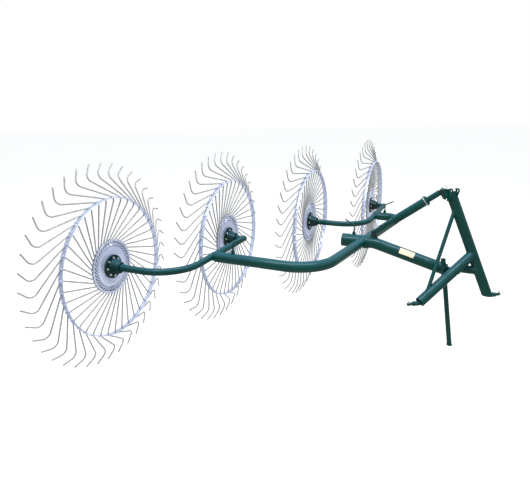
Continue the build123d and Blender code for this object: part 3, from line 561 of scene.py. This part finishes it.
class Nodes:
    """A geometry node tree with named inputs."""

    def __init__(self, name, inputs):
        self.tree = bpy.data.node_groups.new(name, "GeometryNodeTree")
        face = self.tree.interface
        face.new_socket("Geometry", in_out="INPUT", socket_type="NodeSocketGeometry")
        self.sockets = {}
        for label, kind in inputs.items():
            made = face.new_socket(label, in_out="INPUT", socket_type="NodeSocket" + kind)
            self.sockets[label] = made.identifier
        face.new_socket("Geometry", in_out="OUTPUT", socket_type="NodeSocketGeometry")
        self.start = self.tree.nodes.new("NodeGroupInput")
        self.end = self.tree.nodes.new("NodeGroupOutput")

    def add(self, kind, settings=None, **inputs):
        """A node whose inputs are sockets to link or plain values."""
        made = self.tree.nodes.new(kind)
        for key, value in (settings or {}).items():
            setattr(made, key, value)
        for key, value in inputs.items():
            self.feed(made.inputs[key.replace("_", " ")], value)
        return made

    def feed(self, socket, value):
        """Links another socket to an input, or sets the input to a plain value."""
        if isinstance(value, bpy.types.NodeSocket):
            self.tree.links.new(value, socket)
        else:
            socket.default_value = value

    def given(self, label):
        """An input of the tree."""
        return self.start.outputs[label]

    def maths(self, operation, first, second):
        """The result of one operation on two sockets or plain values."""
        made = self.add("ShaderNodeMath", {"operation": operation})
        self.feed(made.inputs[0], first)
        self.feed(made.inputs[1], second)
        return made.outputs[0]

    def ring(self, shape, first_angle=0.0):
        """Copies of a shape turned evenly round Z, as many as the Count input says."""
        points = self.add("GeometryNodePoints", Count=self.given("Count"))
        index = self.add("GeometryNodeInputIndex")
        step = self.maths("DIVIDE", 2 * math.pi, self.given("Count"))
        turn = self.maths("ADD", self.maths("MULTIPLY", index.outputs[0], step), first_angle)
        euler = self.add("ShaderNodeCombineXYZ", Z=turn)
        rotation = self.add("FunctionNodeEulerToRotation", Euler=euler.outputs[0])
        copies = self.add(
            "GeometryNodeInstanceOnPoints",
            Points=points.outputs[0], Instance=shape, Rotation=rotation.outputs[0],
        )
        return copies.outputs[0]

    def finish(self, geometry):
        """Realized and given the material input, then out."""
        real = self.add("GeometryNodeRealizeInstances", Geometry=geometry)
        painted = self.add("GeometryNodeSetMaterial", Geometry=real.outputs[0], Material=self.given("Finish"))
        self.tree.links.new(painted.outputs[0], self.end.inputs[0])

    def run(self, base, values, place, crease):
        """The base mesh put through the tree, placed by a matrix and smoothed, as a plain mesh."""
        holder = bpy.data.objects.new("holder", base)
        bpy.context.scene.collection.objects.link(holder)
        modifier = holder.modifiers.new("made", "NODES")
        modifier.node_group = self.tree
        for label, value in values.items():
            modifier[self.sockets[label]] = value
        graph = bpy.context.evaluated_depsgraph_get()
        graph.update()
        made = bpy.data.meshes.new_from_object(holder.evaluated_get(graph), depsgraph=graph)
        bpy.data.objects.remove(holder)
        made.transform(place)
        smooth_by_angle(made, crease)
        return made


def ring_of_copies():
    """Copies of the base mesh moved out along X and turned evenly round Z."""
    inputs = {"Count": "Int", "Radius": "Float", "First Angle": "Float", "Finish": "Material"}
    nodes = Nodes("ring_of_copies", inputs)
    out = nodes.add("ShaderNodeCombineXYZ", X=nodes.given("Radius"))
    moved = nodes.add("GeometryNodeTransform", Geometry=nodes.given("Geometry"), Translation=out.outputs[0])
    nodes.finish(nodes.ring(moved.outputs[0], nodes.given("First Angle")))
    return nodes


def ring_of_tines():
    """A bent wire along the base polyline, copied evenly round Z."""
    nodes = Nodes("ring_of_tines", {"Count": "Int", "Wire Radius": "Float", "Finish": "Material"})
    line = nodes.add("GeometryNodeMeshToCurve", Mesh=nodes.given("Geometry"))
    radius = nodes.add("GeometryNodeInputNamedAttribute", {"data_type": "FLOAT"}, Name="bend_radius")
    bent = nodes.add(
        "GeometryNodeFilletCurve", {"mode": "POLY"},
        Curve=line.outputs[0], Count=7, Radius=radius.outputs[0], Limit_Radius=True,
    )
    wire = nodes.add("GeometryNodeCurvePrimitiveCircle", Resolution=8, Radius=nodes.given("Wire Radius"))
    tine = nodes.add(
        "GeometryNodeCurveToMesh", Curve=bent.outputs[0], Profile_Curve=wire.outputs[0], Fill_Caps=True,
    )
    nodes.finish(nodes.ring(tine.outputs[0]))
    return nodes


def weld_bead():
    """A rippled bead along the base mesh's edge loop."""
    inputs = {"Bead Radius": "Float", "Ripple Length": "Float", "Seed": "Float", "Finish": "Material"}
    nodes = Nodes("weld_bead", inputs)
    line = nodes.add("GeometryNodeMeshToCurve", Mesh=nodes.given("Geometry"))
    spacing = nodes.maths("DIVIDE", nodes.given("Ripple Length"), 2.0)
    even = nodes.add(
        "GeometryNodeResampleCurve", {"mode": "LENGTH"}, Curve=line.outputs[0], Length=spacing,
    )
    index = nodes.add("GeometryNodeInputIndex")
    odd = nodes.maths("MODULO", index.outputs[0], 2.0)
    speckle = nodes.add("ShaderNodeTexNoise", {"noise_dimensions": "4D"}, W=nodes.given("Seed"), Scale=60.0)
    ripple, lumps = nodes.maths("MULTIPLY", odd, 0.16), nodes.maths("MULTIPLY", speckle.outputs[0], 0.3)
    grow = nodes.maths("ADD", nodes.maths("ADD", ripple, lumps), 0.8)
    radius = nodes.add("GeometryNodeSetCurveRadius", Curve=even.outputs[0], Radius=grow)
    section = nodes.add("GeometryNodeCurvePrimitiveCircle", Resolution=8, Radius=nodes.given("Bead Radius"))
    thickness = nodes.add("GeometryNodeInputRadius")
    bead = nodes.add(
        "GeometryNodeCurveToMesh", Curve=radius.outputs[0], Profile_Curve=section.outputs[0],
        Scale=thickness.outputs[0], Fill_Caps=True,
    )
    nodes.finish(bead.outputs[0])
    return nodes


TREES = {}


def tree(maker):
    """A node tree, built once."""
    if maker.__name__ not in TREES:
        TREES[maker.__name__] = maker()
    return TREES[maker.__name__]


# ---- operators


ENDINGS = {"_hub": "hub_enamel", "_axle": "pin_plate", "_pin": "pin_oiled", "_reel": "disc_zinc"}


class RAKE_OT_paint_frame(bpy.types.Operator):
    """Give every CAD node its paint, zinc or plating"""

    bl_idname = "rake.paint_frame"
    bl_label = "Paint Frame"

    def execute(self, context):
        for name, node in NODES.items():
            found = [material for ending, material in ENDINGS.items() if name.endswith(ending)]
            node.data.materials.clear()
            node.data.materials.append(finish(found[0] if found else "frame_enamel"))
        return {"FINISHED"}


class RAKE_OT_build_tines(bpy.types.Operator):
    """Build the bent wire tines of each wheel"""

    bl_idname = "rake.build_tines"
    bl_label = "Build Tines"

    def execute(self, context):
        s = context.scene.rake_wheel
        low = lowest_tine(s)

        def spot(radius, turn, dish):
            return (radius * math.cos(low + turn), radius * math.sin(low + turn), -dish)

        corners = (
            (spot(s.root_radius, s.root_sweep, s.disc_dish), 0.0),
            (spot(s.hoop_radius, 0.0, 0.0), s.hoop_bend),
            (spot(s.elbow_radius, s.elbow_sweep, s.elbow_dish), s.elbow_bend),
            (spot(s.tip_radius - TIP_TRIM, s.tip_sweep, s.tip_dish), 0.0),
        )
        values = {"Count": s.tine_count, "Wire Radius": s.wire_radius, "Finish": finish("tine_wire")}
        for wheel in WHEELS:
            base = bpy.data.meshes.new("tine_line")
            base.from_pydata([corner for corner, _ in corners], [(0, 1), (1, 2), (2, 3)], [])
            bend = base.attributes.new("bend_radius", "FLOAT", "POINT")
            for i, (_, radius) in enumerate(corners):
                bend.data[i].value = radius
            mesh = tree(ring_of_tines).run(base, values, wheel_place(wheel), 50.0)
            add_piece(wheel + "_tines", mesh, "tine_wire", wheel, (wheel + "_reel",))
        return {"FINISHED"}


class RAKE_OT_build_hoops(bpy.types.Operator):
    """Build the flat hoop of each wheel with its tine clips"""

    bl_idname = "rake.build_hoops"
    bl_label = "Build Hoops"

    def execute(self, context):
        s = context.scene.rake_wheel
        half, wall, ease = s.hoop_width / 2, s.hoop_thickness / 2, 0.0012
        profile = [
            (s.hoop_radius - wall, -half + ease), (s.hoop_radius - wall + ease, -half),
            (s.hoop_radius + wall - ease, -half), (s.hoop_radius + wall, -half + ease),
            (s.hoop_radius + wall, half - ease), (s.hoop_radius + wall - ease, half),
            (s.hoop_radius - wall + ease, half), (s.hoop_radius - wall, half - ease),
        ]
        values = {
            "Count": s.tine_count, "Radius": s.hoop_radius + wall, "First Angle": lowest_tine(s),
            "Finish": finish("disc_zinc"),
        }
        for wheel in WHEELS:
            place = wheel_place(wheel)
            mesh = to_mesh(lathe(profile), wheel + "_hoop", place)
            add_piece(wheel + "_hoop", mesh, "disc_zinc", wheel, (wheel + "_reel",))
            clip = tine_clip(s.wire_radius, s.hoop_width * 0.42)
            clips = tree(ring_of_copies).run(clip, values, place, 50.0)
            add_piece(wheel + "_tine_clips", clips, "disc_zinc", wheel)
        return {"FINISHED"}


def tine_clip(wire, reach):
    """A pressed saddle that holds a tine on the hoop, its foot at X = 0 and its length along Z."""
    foot, neck, shoulder = 0.0085, 0.0055, 0.0030
    side = [(0.0004, foot), (0.0018, foot), (0.0020, neck), (wire + 0.0008, shoulder)]
    arch = [(x, -y) for x, y in side] + [(wire + 0.0016, 0.0)] + side[::-1]
    narrow, shelf = 0.75, 0.8
    sheet = bmesh.new()
    rings = [[sheet.verts.new((x, y * ease, z)) for x, y in arch] for z, ease in (
        (-reach, narrow), (-reach * shelf, 1.0), (reach * shelf, 1.0), (reach, narrow),
    )]
    return capped(sheet, rings, "tine_clip")


class RAKE_OT_build_discs(bpy.types.Operator):
    """Build the pressed spoke disc of each wheel with its tine channels"""

    bl_idname = "rake.build_discs"
    bl_label = "Build Spoke Discs"

    def execute(self, context):
        s = context.scene.rake_wheel
        back = -s.disc_dish - s.disc_gap - s.disc_plate
        face = -s.disc_dish + s.disc_gap + s.disc_plate
        step = back + s.disc_plate
        rim, outer, inner = s.disc_radius, s.band_outer, s.band_inner
        bore, dimple = 0.052, 0.0011
        plate = [
            (bore, back), (0.110, back), (rim - 0.004, back), (rim - 0.001, back + 0.0008),
            (rim, step - 0.0006), (rim - 0.0012, step + 0.0004),
            (outer + 0.001, step + 0.0004), (outer, step - 0.0002),
            (inner, face - 0.0022), (inner - 0.0005, face - 0.0010), (inner - 0.003, face),
            (0.108, face), (0.104, face - dimple), (bore, face - dimple),
        ]
        # a dark ring over the ribbed band, painted shade between the tines
        band = [
            (inner - 0.0002, face - 0.0026), (outer + 0.0006, step - 0.0004),
            (outer + 0.0010, step + 0.0008), (inner + 0.0002, face - 0.0014),
        ]
        rise = s.disc_dish / (s.hoop_radius - s.root_radius)
        rest, edge = (
            s.wire_radius - s.disc_dish - 0.0003 + rise * (radius - s.root_radius) for radius in (outer, rim)
        )
        clamp = [
            (outer + 0.0030, rest), (rim, edge), (rim + 0.0006, edge + 0.0010), (rim - 0.0006, edge + 0.0022),
            (outer + 0.0036, rest + 0.0022), (outer + 0.0024, rest + 0.0010),
        ]
        low = lowest_tine(s)
        root = s.root_radius * Vector((math.cos(low + s.root_sweep), math.sin(low + s.root_sweep), 0.0))
        hoop = s.hoop_radius * Vector((math.cos(low), math.sin(low), 0.0))
        run = (hoop - root).normalized()
        high_end, low_end = (inner, face - 0.0014), (outer, rest - s.wire_radius + 0.0012)
        rib = rib_over_tine(root, run, low_end, high_end, s.wire_radius)
        values = {"Count": s.tine_count, "Radius": 0.0, "First Angle": 0.0, "Finish": finish("disc_zinc")}
        for wheel in WHEELS:
            place = wheel_place(wheel)
            for part, profile, material in (
                ("disc", plate, "disc_zinc"),
                ("recess", band, "dull_zinc"),
                ("clamp_ring", clamp, "disc_zinc"),
            ):
                mesh = to_mesh(lathe(profile), f"{wheel}_{part}", place)
                add_piece(f"{wheel}_{part}", mesh, material, wheel, (wheel + "_reel",))
            ribs = tree(ring_of_copies).run(rib, values, place, 60.0)
            add_piece(wheel + "_ribs", ribs, "disc_zinc", wheel)
        return {"FINISHED"}


def rib_over_tine(root, run, outer, inner, wire):
    """A pressed rib that covers a tine where it crosses the disc's sloping band."""
    start, overhang = -0.016, 0.007
    half_width, rise = wire - 0.0006, wire * 0.95
    across = root.dot(run)
    end = -across + math.sqrt(across ** 2 - root.length_squared + (outer[0] + overhang) ** 2)
    side = Vector((run.y, -run.x, 0.0))
    sheet = bmesh.new()
    steps, around = 12, 10
    rings = []
    for i in range(steps + 1):
        part = i / steps
        spot = root + run * (start + (end - start) * part)
        share = (spot.length - inner[0]) / (outer[0] - inner[0])
        height = inner[1] + (outer[1] - inner[1]) * min(1.0, max(0.0, share))
        swell = math.sin(math.pi * (0.06 + 0.88 * part)) ** 0.4
        rings.append([
            sheet.verts.new(
                spot + side * half_width * swell * math.cos(turn)
                + Vector((0.0, 0.0, height + rise * swell * math.sin(turn)))
            )
            for turn in (2 * math.pi * k / around for k in range(around))
        ])
    return capped(sheet, rings, "rib")


def bolt_head(flats, height, washer):
    """A hexagon head with a rounded top edge on its washer, standing up from Z = 0."""
    sheet = bmesh.new()
    across = flats / math.cos(math.pi / 6)
    bmesh.ops.create_cone(
        sheet, cap_ends=True, segments=6, radius1=across, radius2=across, depth=height,
        matrix=Matrix.Translation((0, 0, height / 2 + WASHER_THICKNESS)),
    )
    top = [e for e in sheet.edges if all(v.co.z > height * 0.9 for v in e.verts)]
    bmesh.ops.bevel(sheet, geom=top, offset=height * 0.16, segments=2, profile=0.6, affect="EDGES")
    bmesh.ops.create_cone(
        sheet, cap_ends=True, segments=24, radius1=washer, radius2=washer, depth=WASHER_THICKNESS,
        matrix=Matrix.Translation((0, 0, WASHER_THICKNESS / 2)),
    )
    return plain_mesh(sheet, "bolt_head")


class RAKE_OT_build_hub_bolts(bpy.types.Operator):
    """Build the bolts on each hub's flange"""

    bl_idname = "rake.build_hub_bolts"
    bl_label = "Build Hub Bolts"

    def execute(self, context):
        s = context.scene.rake_fasteners
        w = context.scene.rake_wheel
        face = -w.disc_dish + w.disc_gap + w.disc_plate + w.flange_thickness
        values = {
            "Count": s.bolt_count, "Radius": s.bolt_circle, "First Angle": 0.0, "Finish": finish("pin_plate"),
        }
        for wheel in WHEELS:
            head = bolt_head(s.bolt_flats, BOLT_HEIGHT, s.bolt_flats * WASHER_RATIO)
            place = wheel_place(wheel) @ Matrix.Translation((0, 0, face))
            mesh = tree(ring_of_copies).run(head, values, place, 30.0)
            add_piece(wheel + "_hub_bolts", mesh, "pin_plate", wheel)
        return {"FINISHED"}


def seam_loop(sheet, other, reach):
    """The longest connected run of sharp edges of one node that lies on another node's skin."""
    near = BVHTree.FromBMesh(other)
    seams = []
    for edge in sheet.edges:
        if len(edge.link_faces) == 2 and edge.calc_face_angle(0.0) < math.radians(SEAM_ANGLE):
            continue
        hits = [near.find_nearest(vertex.co, reach) for vertex in edge.verts]
        if all(hit[0] is not None for hit in hits):
            seams.append(edge)
    left, best, size = set(seams), [], 0.0
    while left:
        group, front = [], [left.pop()]
        while front:
            edge = front.pop()
            group.append(edge)
            for vertex in edge.verts:
                for beside in vertex.link_edges:
                    if beside in left:
                        left.remove(beside)
                        front.append(beside)
        total = sum(edge.calc_length() for edge in group)
        if total > size:
            best, size = group, total
    return best


WELDS = (
    ("front_arm", "boom_sleeve", "boom"),
    ("rear_arm", "boom_sleeve", "boom"),
    ("short_leg", "long_leg", "headstock"),
    ("strut", "long_leg", "headstock"),
    ("strut", "short_leg", "headstock"),
    ("hinge_bracket", "long_leg", "headstock"),
    ("lower_pin_left", "long_leg", "headstock"),
    ("lower_pin_right", "short_leg", "headstock"),
    ("top_ear_left", "long_leg", "headstock"),
    ("top_ear_right", "long_leg", "headstock"),
    ("brace_ear_front", "long_leg", "headstock"),
    ("brace_ear_rear", "long_leg", "headstock"),
    ("brace_lug", "main_tube", "main_frame"),
    ("stand_guide", "main_tube", "main_frame"),
)


class RAKE_OT_build_welds(bpy.types.Operator):
    """Lay a weld bead along each seam between joined tubes and plates"""

    bl_idname = "rake.build_welds"
    bl_label = "Build Weld Beads"

    def execute(self, context):
        s = context.scene.rake_fasteners
        values = {
            "Bead Radius": s.bead_radius, "Ripple Length": RIPPLE_LENGTH, "Seed": 3.0,
            "Finish": finish("frame_enamel"),
        }
        for first, second, body in WELDS:
            sheet, other = merged(first), merged(second)
            seam = seam_loop(sheet, other, SEAM_REACH)
            if not seam:
                print("no seam", first, second)
                continue
            spots = {vertex: i for i, vertex in enumerate({v for edge in seam for v in edge.verts})}
            line = bpy.data.meshes.new("seam")
            line.from_pydata(
                [vertex.co for vertex in spots], [tuple(spots[v] for v in edge.verts) for edge in seam], []
            )
            sheet.free()
            other.free()
            mesh = tree(weld_bead).run(line, values, Matrix(), 80.0)
            add_piece(f"weld_{first}_{second}", mesh, "frame_enamel", body)
        return {"FINISHED"}


def linch_pin(ring, wire):
    """A linch pin with its shank along Z and its sprung ring hanging towards X."""
    turns = [2 * math.pi * k / 32 for k in range(32)]
    loop = [(ring * (0.96 + math.cos(turn)), 0.0, 0.0145 + ring * math.sin(turn)) for turn in turns]
    return joined((
        swept([(0, 0, -0.019), (0, 0, -0.017), (0, 0, 0.010)], 0.0040, 12),
        swept([(0, 0, 0.008), (0, 0, 0.0095), (0, 0, 0.020), (0, 0, 0.0215)], 0.0062, 12),
        swept(loop, wire, 8, True),
    ))


class RAKE_OT_build_clips(bpy.types.Operator):
    """Build the linch pins of the hitch, brace and hinge pins, and the brace's stop pin"""

    bl_idname = "rake.build_clips"
    bl_label = "Build Linch Pins"

    def execute(self, context):
        s = context.scene.rake_fasteners
        hitch_inset, link_inset = 0.014, 0.007
        sideways = ALONG * 0.6 + OUT * 0.8
        for node, out, inset, hang in (
            ("lower_pin_left", LEFT, hitch_inset, LEFT * 0.35 - UP * 0.9),
            ("lower_pin_right", -LEFT, hitch_inset, LEFT * -0.35 - UP * 0.9),
            ("brace_high_pin", ALONG, link_inset, sideways),
            ("brace_low_pin", ALONG, link_inset, sideways),
            ("hinge_pin", ALONG, link_inset, sideways),
        ):
            place = place_at(node_span(node, out)[1] - out * inset, UP + out * 0.25, hang)
            mesh = to_mesh(linch_pin(s.clip_radius, s.clip_wire), node + "_clip", place, 50.0)
            add_piece(node + "_clip", mesh, "pin_plate", NODES[node]["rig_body"])

        # the brace's stop pin: two ends and the spring wire that goes round the tube
        low, high = (
            sum(node_span(node, ALONG), Vector()) / 2 for node in ("brace_low_pin", "brace_high_pin")
        )
        run = (high - low).normalized()
        ring = node_span("brace_tube", run)[1]
        centre = low + run * ((ring - low).dot(run) - 0.016)
        place = place_at(centre, ALONG.cross(run) * -1.0, ALONG * -1.0)
        radius = s.brace_radius
        hoop = radius + 0.006
        wrap = [math.radians(100 - 10 * k) for k in range(21)]
        mesh = to_mesh(joined((
            swept([(0, 0, radius - 0.001), (0, 0, radius + 0.014)], 0.0062, 12),
            swept([(0, 0, -radius + 0.001), (0, 0, -radius - 0.012)], 0.0045, 12),
            swept([(hoop * math.cos(turn), 0, hoop * math.sin(turn)) for turn in wrap], 0.0028, 8),
        )), "brace_clip", place, 50.0)
        add_piece("brace_clip", mesh, "pin_plate", NODES["brace_tube"]["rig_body"])
        return {"FINISHED"}


def tube_middle(tree_of_tube, spot):
    """Centreline point of a lying tube under or over a spot, and its half height there."""
    high = tree_of_tube.ray_cast(spot + UP * 2.0, -UP)[0]
    low = tree_of_tube.ray_cast(spot - UP * 2.0, UP)[0]
    return (high + low) / 2, (high.z - low.z) / 2


class RAKE_OT_build_label(bpy.types.Operator):
    """Lay the blank label on the main tube"""

    bl_idname = "rake.build_label"
    bl_label = "Build Blank Label"

    def execute(self, context):
        s = context.scene.rake_fasteners
        tube = merged("main_tube")
        skin = BVHTree.FromBMesh(tube)
        hinge = sum(node_span("hinge_pin", ALONG), Vector()) / 2
        middle = sum(spot.dot(ALONG) for spot in node_span("main_tube", ALONG)) / 2
        hinge += ALONG * (middle - hinge.dot(ALONG))
        near, half = tube_middle(skin, hinge - OUT * (s.label_from_hinge - LABEL_PROBE))
        far, _ = tube_middle(skin, hinge - OUT * (s.label_from_hinge + LABEL_PROBE))
        tube.free()
        run = (near - far).normalized()
        radius = half * run.dot(OUT) + LABEL_FILM
        facing = -ALONG * math.cos(s.label_lift) + UP * math.sin(s.label_lift)
        place = place_at((near + far) / 2, run, facing)
        sheet = bmesh.new()
        rows, columns, corner = 20, 16, 0.006
        for skin_radius in (radius, radius + LABEL_FILM):
            for i in range(rows + 1):
                turn = s.label_turn * (i / rows - 0.5)
                edge = max(0.0, abs(turn) * radius - (s.label_turn * radius / 2 - corner))
                half_length = s.label_length / 2 - corner + math.sqrt(max(0.0, corner ** 2 - edge ** 2))
                for j in range(columns + 1):
                    run_out = half_length * (2 * j / columns - 1)
                    sheet.verts.new((skin_radius * math.cos(turn), skin_radius * math.sin(turn), run_out))
        sheet.verts.ensure_lookup_table()
        wide, layer = columns + 1, (rows + 1) * (columns + 1)

        def at(level, i, j):
            return sheet.verts[level * layer + i * wide + j]

        for level in (0, 1):
            for i in range(rows):
                for j in range(columns):
                    corners = ((i, j), (i, j + 1), (i + 1, j + 1), (i + 1, j))
                    sheet.faces.new([at(level, *spot) for spot in corners])
        rim = [(0, j) for j in range(columns)] + [(i, columns) for i in range(rows)]
        rim += [(rows, j) for j in range(columns, 0, -1)] + [(i, 0) for i in range(rows, 0, -1)]
        for here, there in zip(rim, rim[1:] + rim[:1]):
            sheet.faces.new((at(0, *here), at(0, *there), at(1, *there), at(1, *here)))
        bmesh.ops.recalc_face_normals(sheet, faces=sheet.faces)
        mesh = to_mesh(sheet, "blank_label", place, 40.0)
        add_piece("blank_label", mesh, "label_film", NODES["main_tube"]["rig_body"])
        return {"FINISHED"}


def seen_directly(nodes, links):
    """One where the eye, a mirror or a glass sees the background, else zero."""
    ray = nodes.new("ShaderNodeLightPath")
    total = ray.outputs["Is Camera Ray"]
    for label in ("Is Glossy Ray", "Is Transmission Ray"):
        more = nodes.new("ShaderNodeMath")
        more.operation = "MAXIMUM"
        links.new(total, more.inputs[0])
        links.new(ray.outputs[label], more.inputs[1])
        total = more.outputs[0]
    return total


def show_apart(tree_of_stage, lit, seen, output):
    """One shader lights the machine while the eye, a mirror or a glass sees another."""
    nodes, links = tree_of_stage.nodes, tree_of_stage.links
    mix = nodes.new("ShaderNodeMixShader")
    links.new(seen_directly(nodes, links), mix.inputs["Fac"])
    links.new(lit.outputs[0], mix.inputs[1])
    links.new(seen.outputs[0], mix.inputs[2])
    links.new(mix.outputs[0], nodes[output].inputs["Surface"])


class RAKE_OT_set_stage(bpy.types.Operator):
    """Lay the pale floor, hang the soft lamps and set the camera"""

    bl_idname = "rake.set_stage"
    bl_label = "Set Stage"

    def execute(self, context):
        s = context.scene.rake_stage
        scene = context.scene
        half = s.floor_size / 2
        mesh = bpy.data.meshes.new("floor")
        corners = [(-half, -half, 0), (half, -half, 0), (half, half, 0), (-half, half, 0)]
        mesh.from_pydata(corners, [], [(0, 1, 2, 3)])
        floor = bpy.data.objects.new("floor", mesh)
        floor.location.z = -0.001
        scene.collection.objects.link(floor)
        material = bpy.data.materials.new("pale_floor")
        material.use_nodes = True
        nodes, links = material.node_tree.nodes, material.node_tree.links
        plain = nodes["Principled BSDF"]
        plain.inputs["Base Color"].default_value = (0.9, 0.9, 0.9, 1)
        plain.inputs["Roughness"].default_value = 0.9
        seen = nodes.new("ShaderNodeBsdfDiffuse")
        seen.inputs["Color"].default_value = (0.4, 0.4, 0.4, 1)
        glow = nodes.new("ShaderNodeEmission")
        glow.inputs["Strength"].default_value = 0.74
        both = nodes.new("ShaderNodeAddShader")
        links.new(seen.outputs[0], both.inputs[0])
        links.new(glow.outputs[0], both.inputs[1])
        show_apart(material.node_tree, plain, both, "Material Output")
        floor.data.materials.append(material)

        world = bpy.data.worlds.new("plain_sky")
        scene.world = world
        world.use_nodes = True
        nodes = world.node_tree.nodes
        lit = nodes["Background"]
        lit.inputs["Color"].default_value = (0.93, 0.96, 1.0, 1)
        lit.inputs["Strength"].default_value = s.sky
        white = nodes.new("ShaderNodeBackground")
        white.inputs["Color"].default_value = (1, 1, 1, 1)
        white.inputs["Strength"].default_value = 1.0
        show_apart(world.node_tree, lit, white, "World Output")

        low, high = CAD_BOX
        middle = Vector(((low[0] + high[0]) / 2, (low[1] + high[1]) / 2, 0.6))
        for name, power, size, depth, spot in (
            ("key_lamp", s.key_power, 4.0, 4.0, (3.0, -3.5, 5.0)),
            ("strip_lamp", s.strip_power, 4.5, 0.6, (1.6, -0.3, 3.6)),
            ("fill_lamp", s.fill_power, 5.0, 5.0, (4.5, 4.0, 3.0)),
        ):
            lamp = bpy.data.lights.new(name, "AREA")
            lamp.energy = power
            lamp.shape = "RECTANGLE"
            lamp.size, lamp.size_y = size, depth
            holder = bpy.data.objects.new(name, lamp)
            holder.location = middle + Vector(spot)
            holder.rotation_euler = (middle - holder.location).to_track_quat("-Z", "Y").to_euler()
            scene.collection.objects.link(holder)

        lens = bpy.data.cameras.new("camera")
        lens.sensor_width = 36.0
        lens.lens = CAMERA_LENS
        lens.clip_end = 200.0
        camera = bpy.data.objects.new("camera", lens)
        camera.location = (CAMERA_FORWARD, CAMERA_LEFT, s.camera_height)
        camera.rotation_euler = (math.radians(90 - CAMERA_PITCH), 0.0, math.radians(CAMERA_HEADING))
        scene.collection.objects.link(camera)
        scene.camera = camera
        scene.view_settings.view_transform = "Standard"
        return {"FINISHED"}


class RAKE_PT_panel(bpy.types.Panel):
    """Hay rake panel in the sidebar"""

    bl_label = "Hay Rake"
    bl_idname = "RAKE_PT_panel"
    bl_space_type = "VIEW_3D"
    bl_region_type = "UI"
    bl_category = "Hay Rake"

    def draw(self, context):
        for group in ("rake_wheel", "rake_fasteners", "rake_finish", "rake_stage"):
            settings = getattr(context.scene, group)
            box = self.layout.box()
            for key in settings.__annotations__:
                box.prop(settings, key)
        for step in STEPS:
            self.layout.operator(step.bl_idname)


STEPS = (
    RAKE_OT_paint_frame,
    RAKE_OT_build_tines,
    RAKE_OT_build_hoops,
    RAKE_OT_build_discs,
    RAKE_OT_build_hub_bolts,
    RAKE_OT_build_clips,
    RAKE_OT_build_label,
    RAKE_OT_build_welds,
    RAKE_OT_set_stage,
)
GROUPS = {
    "rake_wheel": RakeWheelSettings,
    "rake_fasteners": RakeFastenerSettings,
    "rake_finish": RakeFinishSettings,
    "rake_stage": RakeStageSettings,
}


def register():
    for group in GROUPS.values():
        bpy.utils.register_class(group)
    for name, group in GROUPS.items():
        setattr(bpy.types.Scene, name, PointerProperty(type=group))
    for step in STEPS:
        bpy.utils.register_class(step)
    bpy.utils.register_class(RAKE_PT_panel)


def unregister():
    bpy.utils.unregister_class(RAKE_PT_panel)
    for step in reversed(STEPS):
        bpy.utils.unregister_class(step)
    for name in GROUPS:
        delattr(bpy.types.Scene, name)
    for group in reversed(list(GROUPS.values())):
        bpy.utils.unregister_class(group)


def main():
    """Registers the add-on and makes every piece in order."""
    register()
    for step in STEPS:
        family, action = step.bl_idname.split(".")
        getattr(getattr(bpy.ops, family), action)()


if __name__ == "__main__":
    main()
